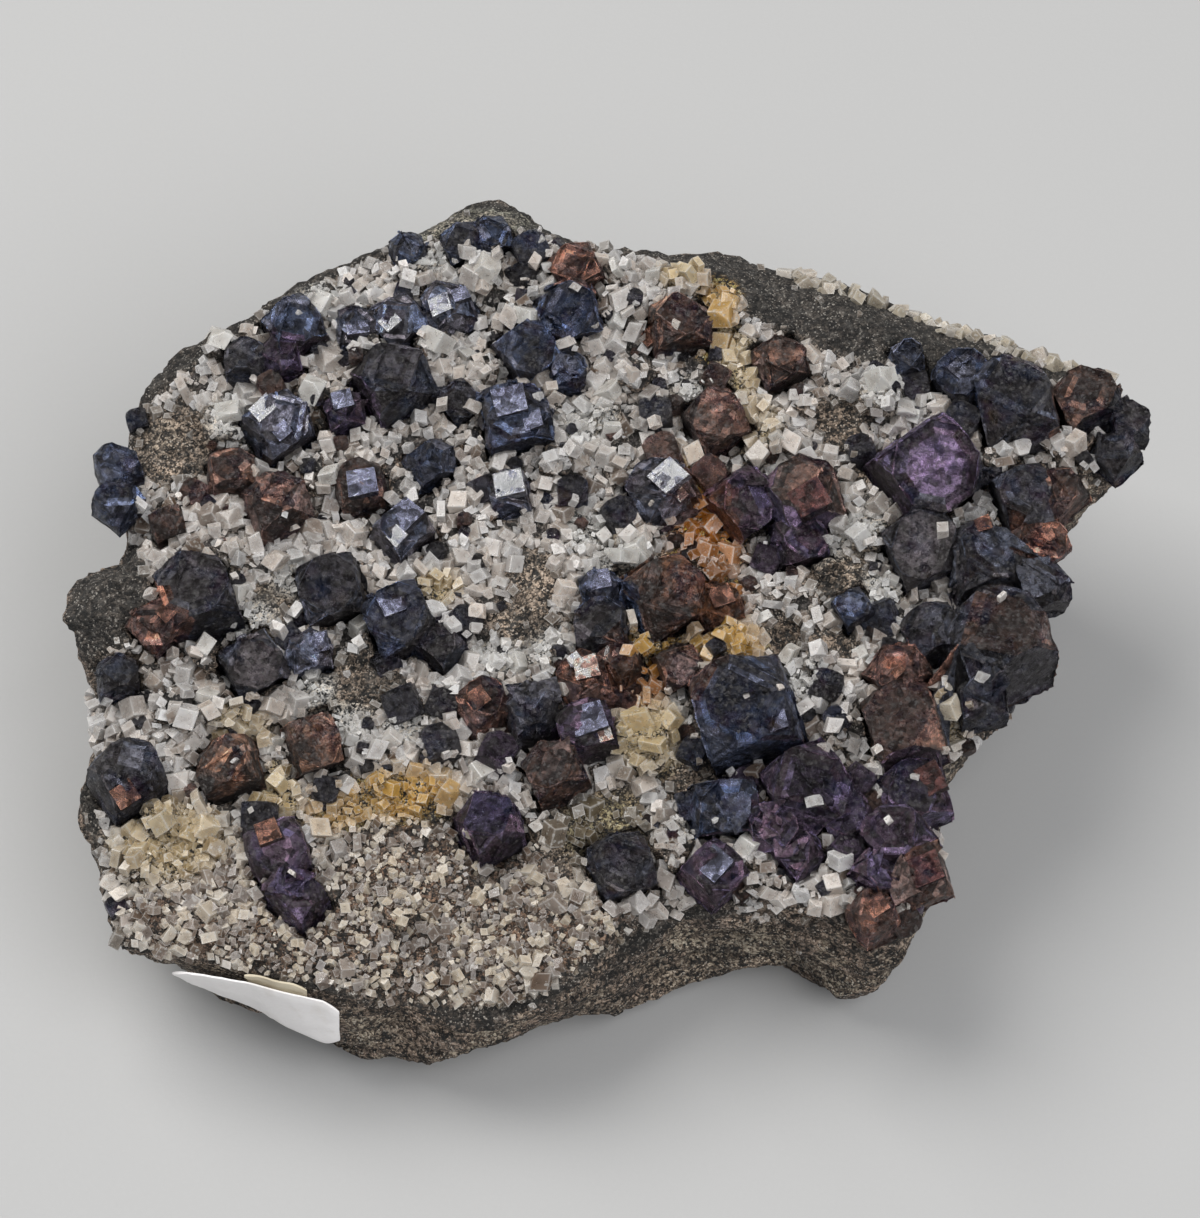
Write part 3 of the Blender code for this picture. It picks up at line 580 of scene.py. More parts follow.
@dataclass(frozen=True)
class GalenaFinish(Finish):
    """Galena: dark metal under a patchy tarnish, bright where a face is clean, with pale growth lines painted on as
    painted highlights.
    """

    name: str = "tarnished_galena"
    tarnish: Colour = (0.030, 0.025, 0.024)
    film_blue: Colour = (0.045, 0.068, 0.15)
    film_violet: Colour = (0.11, 0.055, 0.11)
    film_gold: Colour = (0.24, 0.15, 0.08)

    def wire(self, wiring: Wiring, shader: bpy.types.Node) -> None:
        """Feeds the shader from each face's tint and polish, the tarnish, the colour film, the dust, and the
        painted highlights of the growth lines and chips.
        """
        where = self.coordinates(wiring)
        face = self.painted(wiring, "tint")
        polish = face.outputs["Alpha"]
        broad = wiring.noise(where, 260.0, 4.0)
        fine = wiring.noise(where, 1500.0, 8.0, 0.78)
        base = wiring.mix(1.0, face.outputs["Color"], wiring.spread(fine, 0.36, 0.66, 0.25, 1.6), "MULTIPLY")
        chips = wiring.group(Effects.grain(), Vector=where, Scale=1150.0)
        # Each chip's tone, lifted up to threefold: partly its own random tone, partly painted highlights.
        base = wiring.mix(1.0, base, wiring.spread(chips.outputs["Tone"], 0.2, 0.8, 0.5, 3.0), "MULTIPLY")
        # Pale lines along the growth steps: painted highlights on the step edges.
        growth = wiring.math("MULTIPLY", wiring.noise(where, 330.0, 3.0, 0.5), 13.0)
        step = wiring.math("ABSOLUTE", wiring.math("SUBTRACT", wiring.math("FRACT", growth), 0.5))
        step = wiring.math("MULTIPLY", wiring.spread(step, 0.40, 0.49), wiring.spread(fine, 0.42, 0.6, 0.1, 1.0))
        base = wiring.mix(wiring.math("MULTIPLY", step, 0.45), base, (0.42, 0.43, 0.50, 1))
        film_place = wiring.noise(where, 430.0, 3.0)
        film = wiring.mix(wiring.spread(film_place, 0.42, 0.56), (*self.film_blue, 1), (*self.film_violet, 1))
        film = wiring.mix(wiring.spread(film_place, 0.60, 0.68), film, (*self.film_gold, 1))
        filmed = wiring.mix(wiring.spread(broad, 0.48, 0.66, 0.0, 0.30), base, film)
        dull = wiring.math(
            "MULTIPLY", wiring.spread(broad, 0.62, 0.36), wiring.math("SUBTRACT", 1.0, polish), True
        )
        tarnished = wiring.mix(dull, filmed, (*self.tarnish, 1))
        dust = wiring.group(Effects.dust(), Vector=where, Scale=1300.0, Amount=0.55)
        dusty = wiring.math("MULTIPLY", dust.outputs["Mask"], wiring.math("SUBTRACT", 1.0, polish), True)
        specks = wiring.group(Effects.grain(), Vector=where, Scale=3300.0)
        speck = wiring.math("MULTIPLY", specks.outputs["Glint"], wiring.math("SUBTRACT", 0.9, polish), True)
        coated = wiring.math("MAXIMUM", wiring.math("MULTIPLY", dusty, 0.55), wiring.math("MULTIPLY", speck, 0.5))
        wiring.feed(shader.inputs["Base Color"], wiring.mix(coated, tarnished, (0.30, 0.29, 0.28, 1)))
        clean = wiring.math("SUBTRACT", 1.0, wiring.math("MAXIMUM", coated, wiring.math("MULTIPLY", dull, 0.55)))
        wiring.feed(shader.inputs["Metallic"], clean)
        rough = wiring.math("ADD", wiring.spread(fine, 0.3, 0.7, 0.18, 0.38), wiring.math("MULTIPLY", dull, 0.25))
        shine = wiring.math("MULTIPLY", polish, 0.16)
        wiring.feed(shader.inputs["Roughness"], wiring.math("SUBTRACT", rough, shine, True))
        terraces = wiring.math("MULTIPLY", wiring.math("FLOOR", growth), 0.2)
        flakes = wiring.math("MULTIPLY", chips.outputs["Height"], wiring.spread(polish, 0.4, 0.9, 0.5, 0.05))
        height = wiring.math("ADD", wiring.math("ADD", terraces, flakes), wiring.math("MULTIPLY", fine, 0.9))
        crumbs = wiring.math("MULTIPLY", specks.outputs["Height"], wiring.spread(polish, 0.1, 0.5, 0.55, 0.10))
        height = wiring.math("ADD", height, crumbs)
        wiring.feed(shader.inputs["Normal"], self.bump(wiring, height, 1.0, 0.0006))


@dataclass(frozen=True)
class PaperFinish(Finish):
    """Matt paper with fibres, faintly soiled."""

    name: str = "label_paper"
    colour: Colour = (0.90, 0.88, 0.87)
    soil: Colour = (0.56, 0.48, 0.38)
    soiling: float = 0.35

    def wire(self, wiring: Wiring, shader: bpy.types.Node) -> None:
        """Feeds the shader from the fibres and the soiling."""
        where = self.coordinates(wiring)
        stretched = wiring.node("ShaderNodeMapping", Vector=where)
        stretched.inputs["Scale"].default_value = (0.4, 1.6, 1.6)
        fibres = wiring.noise(stretched.outputs["Vector"], 3200.0, 5.0)
        base = wiring.mix(wiring.spread(fibres, 0.35, 0.7, 0.0, 0.10), (*self.colour, 1), (0.55, 0.52, 0.50, 1))
        worn = wiring.spread(wiring.noise(where, 260.0, 5.0), 0.52, 0.78, 0.0, self.soiling)
        wiring.feed(shader.inputs["Base Color"], wiring.mix(worn, base, (*self.soil, 1)))
        wiring.feed(shader.inputs["Roughness"], wiring.spread(fibres, 0.3, 0.7, 0.62, 0.78))
        wiring.feed(shader.inputs["Normal"], self.bump(wiring, fibres, 0.25, 0.0001))


@dataclass(frozen=True)
class FloorFinish(Finish):
    """A pale, matt floor."""

    name: str = "pale_floor"
    colour: Colour = (0.44, 0.44, 0.435)

    def wire(self, wiring: Wiring, shader: bpy.types.Node) -> None:
        """Feeds the shader with a colour that wanders a little."""
        where = self.coordinates(wiring)
        wander = wiring.spread(wiring.noise(where, 6.0, 2.0), 0.3, 0.7, 0.0, 0.10)
        wiring.feed(shader.inputs["Base Color"], wiring.mix(wander, (*self.colour, 1), (0.47, 0.47, 0.47, 1)))
        weave = wiring.noise(where, 1800.0, 2.0)
        wiring.feed(shader.inputs["Roughness"], wiring.spread(weave, 0.3, 0.7, 0.8, 0.95))
        wiring.feed(shader.inputs["Normal"], self.bump(wiring, weave, 0.08, 0.0002))


def only(piece: bpy.types.Object) -> None:
    """Selects one object and makes it the active one."""
    bpy.ops.object.select_all(action="DESELECT")
    piece.select_set(True)
    bpy.context.view_layer.objects.active = piece


def merged_copy(node: str, name: str) -> bpy.types.Object:
    """A copy of a solid with its loose triangles joined.

    Args:
        node: The solid's name.
        name: The new piece's name.

    Returns:
        The copy, with a mesh of its own and no material.
    """
    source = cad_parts[node]
    piece = bpy.data.objects.new(name, source.data.copy())
    bpy.context.scene.collection.objects.link(piece)
    piece.data.materials.clear()
    only(piece)
    bpy.ops.mesh.customdata_custom_splitnormals_clear()
    bpy.ops.object.mode_set(mode="EDIT")
    bpy.ops.mesh.select_all(action="SELECT")
    bpy.ops.mesh.remove_doubles(threshold=1e-6)
    bpy.ops.object.mode_set(mode="OBJECT")
    return piece


def surface(objects: Iterable[bpy.types.Object]) -> BVHTree:
    """The surface of some meshes together, for finding where a ray meets it."""
    verts: list[Vector] = []
    faces: list[tuple[int, ...]] = []
    for item in objects:
        start = len(verts)
        verts.extend(vert.co.copy() for vert in item.data.vertices)
        faces.extend(tuple(start + index for index in face.vertices) for face in item.data.polygons)
    return BVHTree.FromPolygons(verts, faces)


def vertex_places(mesh: bpy.types.Mesh) -> tuple[np.ndarray, np.ndarray]:
    """The vertices' places and normals as two arrays."""
    places = np.empty(len(mesh.vertices) * 3, np.float32)
    normals = np.empty(len(mesh.vertices) * 3, np.float32)
    mesh.vertices.foreach_get("co", places)
    mesh.vertices.foreach_get("normal", normals)
    return places.reshape(-1, 3), normals.reshape(-1, 3)


def paint(mesh: bpy.types.Mesh, name: str, domain: str, colours: Sequence[Sequence[float]]) -> None:
    """Writes a colour for each vertex or face into an attribute of the mesh."""
    layer = mesh.attributes.new(name, "FLOAT_COLOR", domain)
    layer.data.foreach_set("color", np.asarray(colours, np.float32).ravel())


@dataclass
class RockBody:
    """The slab of dolostone under the crystals.

    Attributes:
        grid: The side of the mesh's squares, in metres.
        sides: The colour of the broken sides.
        crust: The colour of the ground between the dolomite crystals.
        bare: The colour of the bare patches of the crystal face.
    """

    grid: float = 0.00066
    sides: Colour = (0.150, 0.108, 0.078)
    crust: Colour = (0.085, 0.069, 0.056)
    bare: Colour = (0.115, 0.084, 0.060)
    fine: Colour = (0.085, 0.052, 0.033)
    snow: Colour = (0.74, 0.73, 0.70)
    rear: Colour = (0.030, 0.025, 0.020)
    finish: Finish = field(default_factory=DolostoneFinish)

    def build(self) -> bpy.types.Object:
        """Makes the slab and returns it."""
        piece = merged_copy("matrix_rock", "rock_body")
        piece.data.remesh_voxel_size = self.grid
        piece.data.use_remesh_preserve_volume = True
        bpy.ops.object.voxel_remesh()
        places, normals = vertex_places(piece.data)
        labels = surface([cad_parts["paper_label"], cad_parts["old_label"]])
        colours = []
        for index in range(len(places)):
            point = Vector(places[index])
            normal = Vector(normals[index])
            u, v, _ = FACE.place(point)
            topping = smooth(0.25, 0.6, normal.dot(FACE.normal)) * smooth(0.012, 0.016, point.z)
            cover = CRUST.share(u, v) * topping
            rise = self._relief(point / MM, topping, cover)
            rise *= smooth(0.0, 0.0015, point.z)
            if u < -22.0 and v < -32.0:
                away = labels.find_nearest(point)[3]
                rise = rise * smooth(0.0012, 0.0030, away) - 0.35 * (1.0 - smooth(0.0012, 0.0024, away))
            places[index] = point + normal * rise * MM
            places[index][2] = max(0.0, places[index][2])
            colours.append((*self._colour(u, v, point / MM, topping, cover), 1.0))
        piece.data.vertices.foreach_set("co", places.ravel())
        piece.data.update()
        paint(piece.data, "ground", "POINT", colours)
        piece.data.materials.append(self.finish.build())
        piece.data.shade_smooth()
        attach(piece, "root")
        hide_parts("matrix_rock")
        LOG.info("%s: %d vertices", piece.name, len(piece.data.vertices))
        return piece

    @staticmethod
    def _relief(point: Vector, topping: float, cover: float) -> float:
        """How far the surface rises at a point, in millimetres."""
        grains = 0.26 * noise.noise(point / 0.9) + 0.16 * noise.noise(point / 0.45)
        lumps = 0.35 * noise.noise(point / 2.6)
        bedded = Vector((point.x / 9.0, point.y / 9.0, point.z / 1.3))
        ledges = 0.75 * noise.noise(bedded) + 0.3 * abs(noise.noise(bedded * 2.7))
        return grains + lumps + (1.0 - topping) * ledges - 0.35 * cover

    def _colour(self, u: float, v: float, point: Vector, topping: float, cover: float) -> Colour:
        """The ground colour at a point."""
        mottle = 0.5 + 0.5 * noise.noise(point / 7.0)
        side = blend(self.sides, (0.22, 0.165, 0.12), mottle * 0.6)
        side = blend(side, (0.035, 0.029, 0.025), 0.6 * smooth(0.0, 0.45, noise.noise(point / 4.0)))
        fine = min(1.0, strongest(FINE_GROUND, u, v))
        # The ground is darkened towards black where the crust thins: painted shade in the gaps between the
        # crystals.
        between = blend(blend(self.crust, (0.026, 0.022, 0.020), CRUST.gap(u, v)), self.fine, fine)
        open_ground = blend(self.bare, (0.22, 0.175, 0.13), 0.6 * mottle)
        open_ground = blend(self.rear, open_ground, CRUST.inside(u, v))
        open_ground = blend(open_ground, (0.26, 0.25, 0.19), strongest(TOP_PATCH, u, v))
        face = blend(open_ground, between, cover)
        face = blend(face, self.snow, strongest(SNOW, u, v))
        face = stained(face, u, v)
        side = blend(side, self.rear, 0.8 * smooth(20.0, 28.0, point.z) * smooth(24.0, 32.0, v))
        return blend(side, face, topping)


@dataclass(frozen=True)
class Template:
    """A small crystal of unit size, as arrays that copies are made from."""

    verts: np.ndarray
    corners: np.ndarray
    lengths: np.ndarray
    inner: np.ndarray


@dataclass(frozen=True)
class Rhomb:
    """One small crystal.

    Attributes:
        place: Its middle, in metres.
        across: Its size, in millimetres.
        turn: How it is turned.
        tint: Its colour.
        template: Which of the modelled crystals it copies.
        polish: How clean its faces are.
    """

    place: Vector
    across: float
    turn: Matrix
    tint: Colour
    template: int
    polish: float = 0.4


def taken_as_template(piece: bpy.types.Object, inner: np.ndarray) -> Template:
    """Reads a modelled crystal into arrays and removes the object.

    Args:
        piece: The modelled crystal.
        inner: Where its vertices lay before it was turned, so that a finish can tell its edges.

    Returns:
        The arrays.
    """
    mesh = piece.data
    verts = np.array([vert.co for vert in mesh.vertices], np.float32)
    corners = np.array([index for face in mesh.polygons for index in face.vertices], np.int32)
    lengths = np.array([len(face.vertices) for face in mesh.polygons], np.int32)
    bpy.data.objects.remove(piece)
    bpy.data.meshes.remove(mesh)
    return Template(verts, corners, lengths, inner)


def joined(
    name: str, crystals: Sequence[Rhomb], templates: Sequence[Template], material: bpy.types.Material
) -> bpy.types.Object:
    """Makes one piece of many crystals.

    Args:
        name: The piece's name.
        crystals: Its crystals.
        templates: The modelled crystals that they copy.
        material: Its material.

    Returns:
        The piece.
    """
    verts, corners, lengths, tints, inner = [], [], [], [], []
    start = 0
    for crystal in crystals:
        template = templates[crystal.template]
        turn = np.array(crystal.turn, np.float32) * (crystal.across * MM)
        verts.append(template.verts @ turn.T + np.array(crystal.place, np.float32))
        corners.append(template.corners + start)
        lengths.append(template.lengths)
        tints.append(np.tile(np.array((*crystal.tint, crystal.polish), np.float32), (len(template.verts), 1)))
        inner.append(template.inner)
        start += len(template.verts)
    mesh = bpy.data.meshes.new(name)
    mesh.vertices.add(start)
    mesh.vertices.foreach_set("co", np.concatenate(verts).ravel())
    loops = np.concatenate(corners)
    sizes = np.concatenate(lengths)
    mesh.loops.add(len(loops))
    mesh.loops.foreach_set("vertex_index", loops)
    mesh.polygons.add(len(sizes))
    mesh.polygons.foreach_set("loop_start", np.concatenate(([0], np.cumsum(sizes)[:-1])).astype(np.int32))
    mesh.polygons.foreach_set("loop_total", sizes)
    mesh.update(calc_edges=True)
    mesh.validate()
    mesh.shade_flat()
    paint(mesh, "tint", "POINT", np.concatenate(tints))
    mesh.attributes.new("inner", "FLOAT_VECTOR", "POINT").data.foreach_set("vector", np.concatenate(inner).ravel())
    mesh.materials.append(material)
    piece = bpy.data.objects.new(name, mesh)
    bpy.context.scene.collection.objects.link(piece)
    return piece


@dataclass
class DolomiteCrust:
    """The dolomite: thousands of small rhombs that stand on the slab's crystal face.

    Attributes:
        tries: How many places are tried for each class of size.
        seed: Where the random numbers start.
        strips: The crust is parted into this many pieces, from left to right.
    """

    rock: BVHTree
    galena: BVHTree
    labels: BVHTree
    tries: tuple[tuple[float, float, int], ...] = (
        (2.0, 2.7, 1500), (1.5, 2.0, 8000), (1.05, 1.5, 20000), (0.65, 1.05, 42000),
        (0.40, 0.65, 40000),
    )
    seed: int = 11
    strips: int = 4
    finish: Finish = field(default_factory=DolomiteFinish)

    KINDS = 8
    PRESSED = (1.0, 0.62, 0.78, 0.5, 0.9, 0.68, 0.42, 0.84)
    BROKEN = (
        (),
        ((0.36, 0.30, 0.22),),
        (),
        ((-0.44, 0.24, 0.30),),
        ((0.30, -0.34, 0.30),),
        ((0.42, 0.30, 0.16), (-0.30, -0.38, 0.20)),
        ((-0.40, 0.30, 0.10), (0.34, 0.40, -0.14)),
        (),
    )
    SMALLEST_WORN = 1.7
    SHOWY = (
        (32.6, -25.6, 2.4), (34.9, -26.4, 1.9), (29.2, -29.7, 2.6), (37.9, -29.5, 2.0),
        (21.8, -32.4, 1.9), (29.3, -36.5, 2.3), (16.5, -29.5, 3.2), (38.8, -16.8, 2.4),
        (39.7, -13.2, 3.0), (23.5, -15.5, 1.9), (43.3, 13.0, 2.4), (52.0, 16.3, 2.2), (48.2, 2.5, 2.1),
        (46.1, 8.2, 2.0), (40.7, 8.9, 3.0), (37.0, 0.0, 3.4), (21.8, -5.4, 2.4), (33.2, -3.2, 2.0),
        (30.2, -5.8, 2.2), (51.2, -1.7, 1.8), (32.3, 15.8, 1.8), (23.7, 27.5, 2.8), (33.0, 27.6, 3.4),
        (35.2, 26.4, 3.0), (37.0, 24.3, 2.2), (39.0, 26.8, 2.3), (53.5, 20.8, 2.6), (55.7, 17.3, 3.6),
        (-13.3, 42.5, 3.6), (-21.2, 43.4, 3.0), (-8.4, 36.3, 3.4), (2.0, 43.0, 2.5), (6.2, 43.0, 2.4),
        (10.2, 42.2, 2.8), (1.8, 36.6, 3.0), (17.1, 34.4, 2.5), (-19.3, 33.2, 3.5), (-15.9, 32.5, 2.6),
        (-12.4, 29.4, 3.0), (1.2, 27.8, 3.5), (1.2, 22.4, 2.6), (8.4, 22.7, 2.5), (-33.2, 38.6, 3.4),
        (-25.0, 32.8, 3.5), (-34.0, 27.2, 3.5), (-43.6, 24.7, 4.0), (-45.0, 33.8, 3.0),
        (-32.4, 22.3, 2.3), (-34.2, 16.4, 3.2), (-31.8, 16.2, 2.8), (-45.5, -5.6, 3.0),
        (-41.0, -14.5, 3.0), (-27.6, -2.4, 2.6), (-37.2, -16.5, 2.2), (-41.3, 2.0, 3.6),
        (-44.8, -10.6, 3.3), (2.4, 5.2, 3.6), (4.4, 6.6, 3.2), (-4.1, -7.5, 4.2), (-9.0, -6.7, 3.0),
        (-9.3, -17.5, 2.8), (4.4, -15.0, 4.2), (6.0, -17.2, 3.8), (11.5, -14.0, 3.6), (19.1, -0.5, 2.5),
        (-13.8, -20.0, 3.0), (-36.7, -21.0, 2.3), (-37.3, -23.6, 2.5), (-39.9, -23.9, 2.2),
        (-49.5, -26.5, 3.0),
    )

    def build(self) -> list[bpy.types.Object]:
        """Makes the crust and returns its pieces."""
        templates = [self._model(number, worn) for worn in (True, False) for number in range(self.KINDS)]
        rhombs = self._sites()
        pieces = []
        rhombs.sort(key=lambda rhomb: rhomb.place.x)
        for number in range(self.strips):
            start = number * len(rhombs) // self.strips
            end = (number + 1) * len(rhombs) // self.strips
            piece = joined(f"dolomite_crust_{number + 1}", rhombs[start:end], templates, self.finish.build())
            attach(piece, "root")
            pieces.append(piece)
        LOG.info("dolomite crust: %d crystals", len(rhombs))
        return pieces

    @staticmethod
    def _model(number: int, worn: bool) -> Template:
        """Models one small crystal: a cube stood on a corner and pressed down.

        Args:
            number: Which one of the shapes.
            worn: Whether its edges are worn, which shows on the larger ones alone.

        Returns:
            The crystal.
        """
        bpy.ops.object.select_all(action="DESELECT")
        bpy.ops.mesh.primitive_cube_add(size=1.0, location=(0.0, 0.0, 0.0))
        piece = bpy.context.object
        middle = (0.0, 0.0, 0.0)
        bpy.ops.object.mode_set(mode="EDIT")
        bpy.ops.mesh.select_all(action="SELECT")
        for corner in DolomiteCrust.BROKEN[number]:
            bpy.ops.mesh.bisect(
                plane_co=corner, plane_no=Vector(corner).normalized(), use_fill=True, clear_outer=True
            )
            bpy.ops.mesh.select_all(action="SELECT")
        bpy.ops.transform.vertex_random(offset=0.07, seed=number + 1)
        if worn:
            bpy.ops.mesh.bevel(offset=0.035, segments=1, affect="EDGES")
        bpy.ops.object.mode_set(mode="OBJECT")
        inner = vertex_places(piece.data)[0]
        bpy.ops.object.mode_set(mode="EDIT")
        bpy.ops.mesh.select_all(action="SELECT")
        bpy.ops.transform.resize(value=(1.0, 1.0, DolomiteCrust.PRESSED[number]), center_override=middle)
        bpy.ops.transform.rotate(value=math.radians(45), orient_axis="Z", center_override=middle)
        bpy.ops.transform.rotate(value=math.atan(math.sqrt(2)), orient_axis="X", center_override=middle)
        bpy.ops.transform.resize(value=(1.06, 1.06, 0.80), center_override=middle)
        bpy.ops.object.mode_set(mode="OBJECT")
        return taken_as_template(piece, inner)

    def _sites(self) -> list[Rhomb]:
        """Finds a place for each crystal, the largest first, none too near another."""
        chance = random.Random(self.seed)
        taken: dict[tuple[int, int], list[tuple[float, float, float]]] = {}
        rhombs: list[Rhomb] = []
        for u, v, across in self.SHOWY:
            self._add(rhombs, taken, chance, u, v, 0.86 * across, showy=True)
        for low, high, tries in self.tries:
            for _ in range(tries):
                u = chance.uniform(-63.0, 64.5)
                v = chance.uniform(-49.0, 54.0)
                across = chance.uniform(low, high)
                keep = chance.random()
                if keep < self._wanted(u, v, across):
                    self._add(rhombs, taken, chance, u, v, across)
        for _ in range(380):
            u = 22.0 + 40.0 * chance.random()
            v = self._rear_edge(u) + chance.gauss(0.4, 0.5)
            self._add(rhombs, taken, chance, u, v, chance.uniform(0.8, 2.2), cream=True)
        return rhombs

    @staticmethod
    def _rear_edge(u: float) -> float:
        """Where the cream crust along the back right edge lies."""
        if u < 41.0:
            return 44.9 - (u - 22.0) * 0.40
        return 37.0 - (u - 41.0) * 0.42

    @staticmethod
    def _wanted(u: float, v: float, across: float) -> float:
        """How likely a crystal of this size is to grow at (u, v)."""
        ground = min(1.0, strongest(FINE_GROUND, u, v))
        snow = min(1.0, strongest(SNOW, u, v))
        fine = max(ground, snow)
        cover = CRUST.share(u, v) * (1.0 - 0.9 * CRUST.gap(u, v) * (1.0 - max(0.2 * ground, snow)))
        if across > 1.5:
            return cover * cover * (1.0 - fine)
        if across > 1.05:
            return cover * (1.0 - 0.85 * fine)
        if across > 0.65:
            return max(cover * (1.0 - 0.5 * fine), 0.006)
        return cover * (0.15 + 0.85 * fine)

    def _add(
        self,
        rhombs: list[Rhomb],
        taken: dict[tuple[int, int], list[tuple[float, float, float]]],
        chance: random.Random,
        u: float,
        v: float,
        across: float,
        showy: bool = False,
        cream: bool = False,
    ) -> None:
        """Adds a crystal at (u, v), unless another is too near or there is no ground for it.

        Args:
            rhombs: The crystals so far, which it adds to.
            taken: The places taken, by square of the face.
            chance: The random numbers.
            u: How far right.
            v: How far up the face.
            across: The crystal's size, in millimetres.
            showy: Whether it is one of the large pale ones, which is set whatever stands near it.
            cream: Whether it belongs to the cream crust of the back edge.
        """
        square = (int(u // 3.0), int(v // 3.0))
        if not showy:
            for du in (-1, 0, 1):
                for dv in (-1, 0, 1):
                    for other_u, other_v, other in taken.get((square[0] + du, square[1] + dv), ()):
                        if math.hypot(u - other_u, v - other_v) < 0.285 * (across + other):
                            return
        ray = FACE.point(u, v, 16.0)
        ground, normal, _, depth = self.rock.ray_cast(ray, -FACE.normal)
        if ground is None or normal.dot(FACE.normal) < (-0.1 if cream else 0.45):
            return
        if FACE.place(ground)[2] < -9.0:
            return
        metal = self.galena.ray_cast(ray, -FACE.normal)
        if metal[0] is not None and metal[3] < depth - 0.0009:
            flank = metal[1].dot(FACE.normal) < 0.7 and metal[3] > depth - 0.0026
            if showy or across > 2.2 or chance.random() > (0.7 if flank else 0.002):
                return
            ground, normal = metal[0], metal[1].lerp(FACE.normal, 0.5).normalized()
        if self.labels.find_nearest(ground)[3] < 0.0009:
            return
        taken.setdefault(square, []).append((u, v, across))
        lean = normal.lerp(FACE.normal, 0.4).normalized()
        tip = Matrix.Rotation(math.radians(chance.uniform(5.0, 75.0)), 3, "X")
        spin = Matrix.Rotation(chance.uniform(0.0, math.tau), 3, "Z")
        turn = Vector((0, 0, 1)).rotation_difference(lean).to_matrix() @ spin @ tip
        turn = turn @ Matrix.Rotation(chance.uniform(0.0, math.tau), 3, "Z")
        place = ground + lean * across * MM * chance.uniform(-0.16, 0.28)
        tint = self._tint(u, v, across, chance, showy, cream)
        kind = chance.randrange(self.KINDS) + (0 if across >= self.SMALLEST_WORN else self.KINDS)
        rhombs.append(Rhomb(place, across * 0.92, turn, tint, kind))

    @staticmethod
    def _tint(u: float, v: float, across: float, chance: random.Random, showy: bool, cream: bool) -> Colour:
        """A crystal's own colour: greys and whites, stained where the stains reach."""
        bright = chance.uniform(0.64, 0.92)
        if chance.random() < 0.35:
            bright = chance.uniform(0.90, 0.98)
        warm = chance.uniform(0.02, 0.17)
        colour = (bright, bright * (1.0 - warm * 0.72), bright * (1.0 - warm * 1.35))
        fine = min(1.0, strongest(FINE_GROUND, u, v))
        if chance.random() < 0.10 + 0.48 * fine:
            colour = blend(colour, BROWN_GRAIN, chance.uniform(0.4, 0.95))
        elif fine > 0.2:
            colour = blend(colour, WARM_GRAIN, 0.7 * fine)
        if CRUST.share(u, v) < 0.3 and not cream:
            colour = blend(colour, BARE_GROUND, 0.75)
        colour = blend(colour, POWDER_WHITE, 0.85 * strongest(SNOW, u, v))
        if showy:
            colour = blend(colour, SHOWY_WHITE, 0.75)
        if cream:
            colour = blend(colour, RIM_CREAM, chance.uniform(0.4, 0.9))
        return stained(colour, u, v)


class Look(Enum):
    """How a galena crystal has tarnished: its colour and how clean its faces are."""

    BLACK = (0.036, 0.036, 0.043, 0.32)
    BLUE = (0.048, 0.056, 0.084, 0.50)
    RUST = (0.092, 0.056, 0.045, 0.18)
    BROWN = (0.185, 0.110, 0.080, 0.02)
    VIOLET = (0.064, 0.046, 0.072, 0.45)
    COPPER = (0.130, 0.070, 0.054, 0.45)
    SILVER = (0.092, 0.095, 0.122, 0.60)
    MAROON = (0.085, 0.038, 0.034, 0.50)
    MIRROR = (0.62, 0.63, 0.72, 0.95)
    LAVENDER = (0.16, 0.165, 0.22, 0.75)
    BRONZE = (0.20, 0.105, 0.075, 0.70)
    PINK = (0.62, 0.40, 0.34, 0.95)


@dataclass(frozen=True)
class Facet:
    """A bright flat step of growth on a galena crystal.

    Attributes:
        u: How far right its middle is.
        v: How far up the face.
        across: Its side, in millimetres.
        turn: Its turn about its own normal, in degrees.
        tip_x: How far it tips towards the viewer, in degrees.
        tip_y: How far it tips to the right, in degrees.
        look: How it has tarnished.
    """

    u: float
    v: float
    across: float
    turn: float
    tip_x: float
    tip_y: float
    look: Look


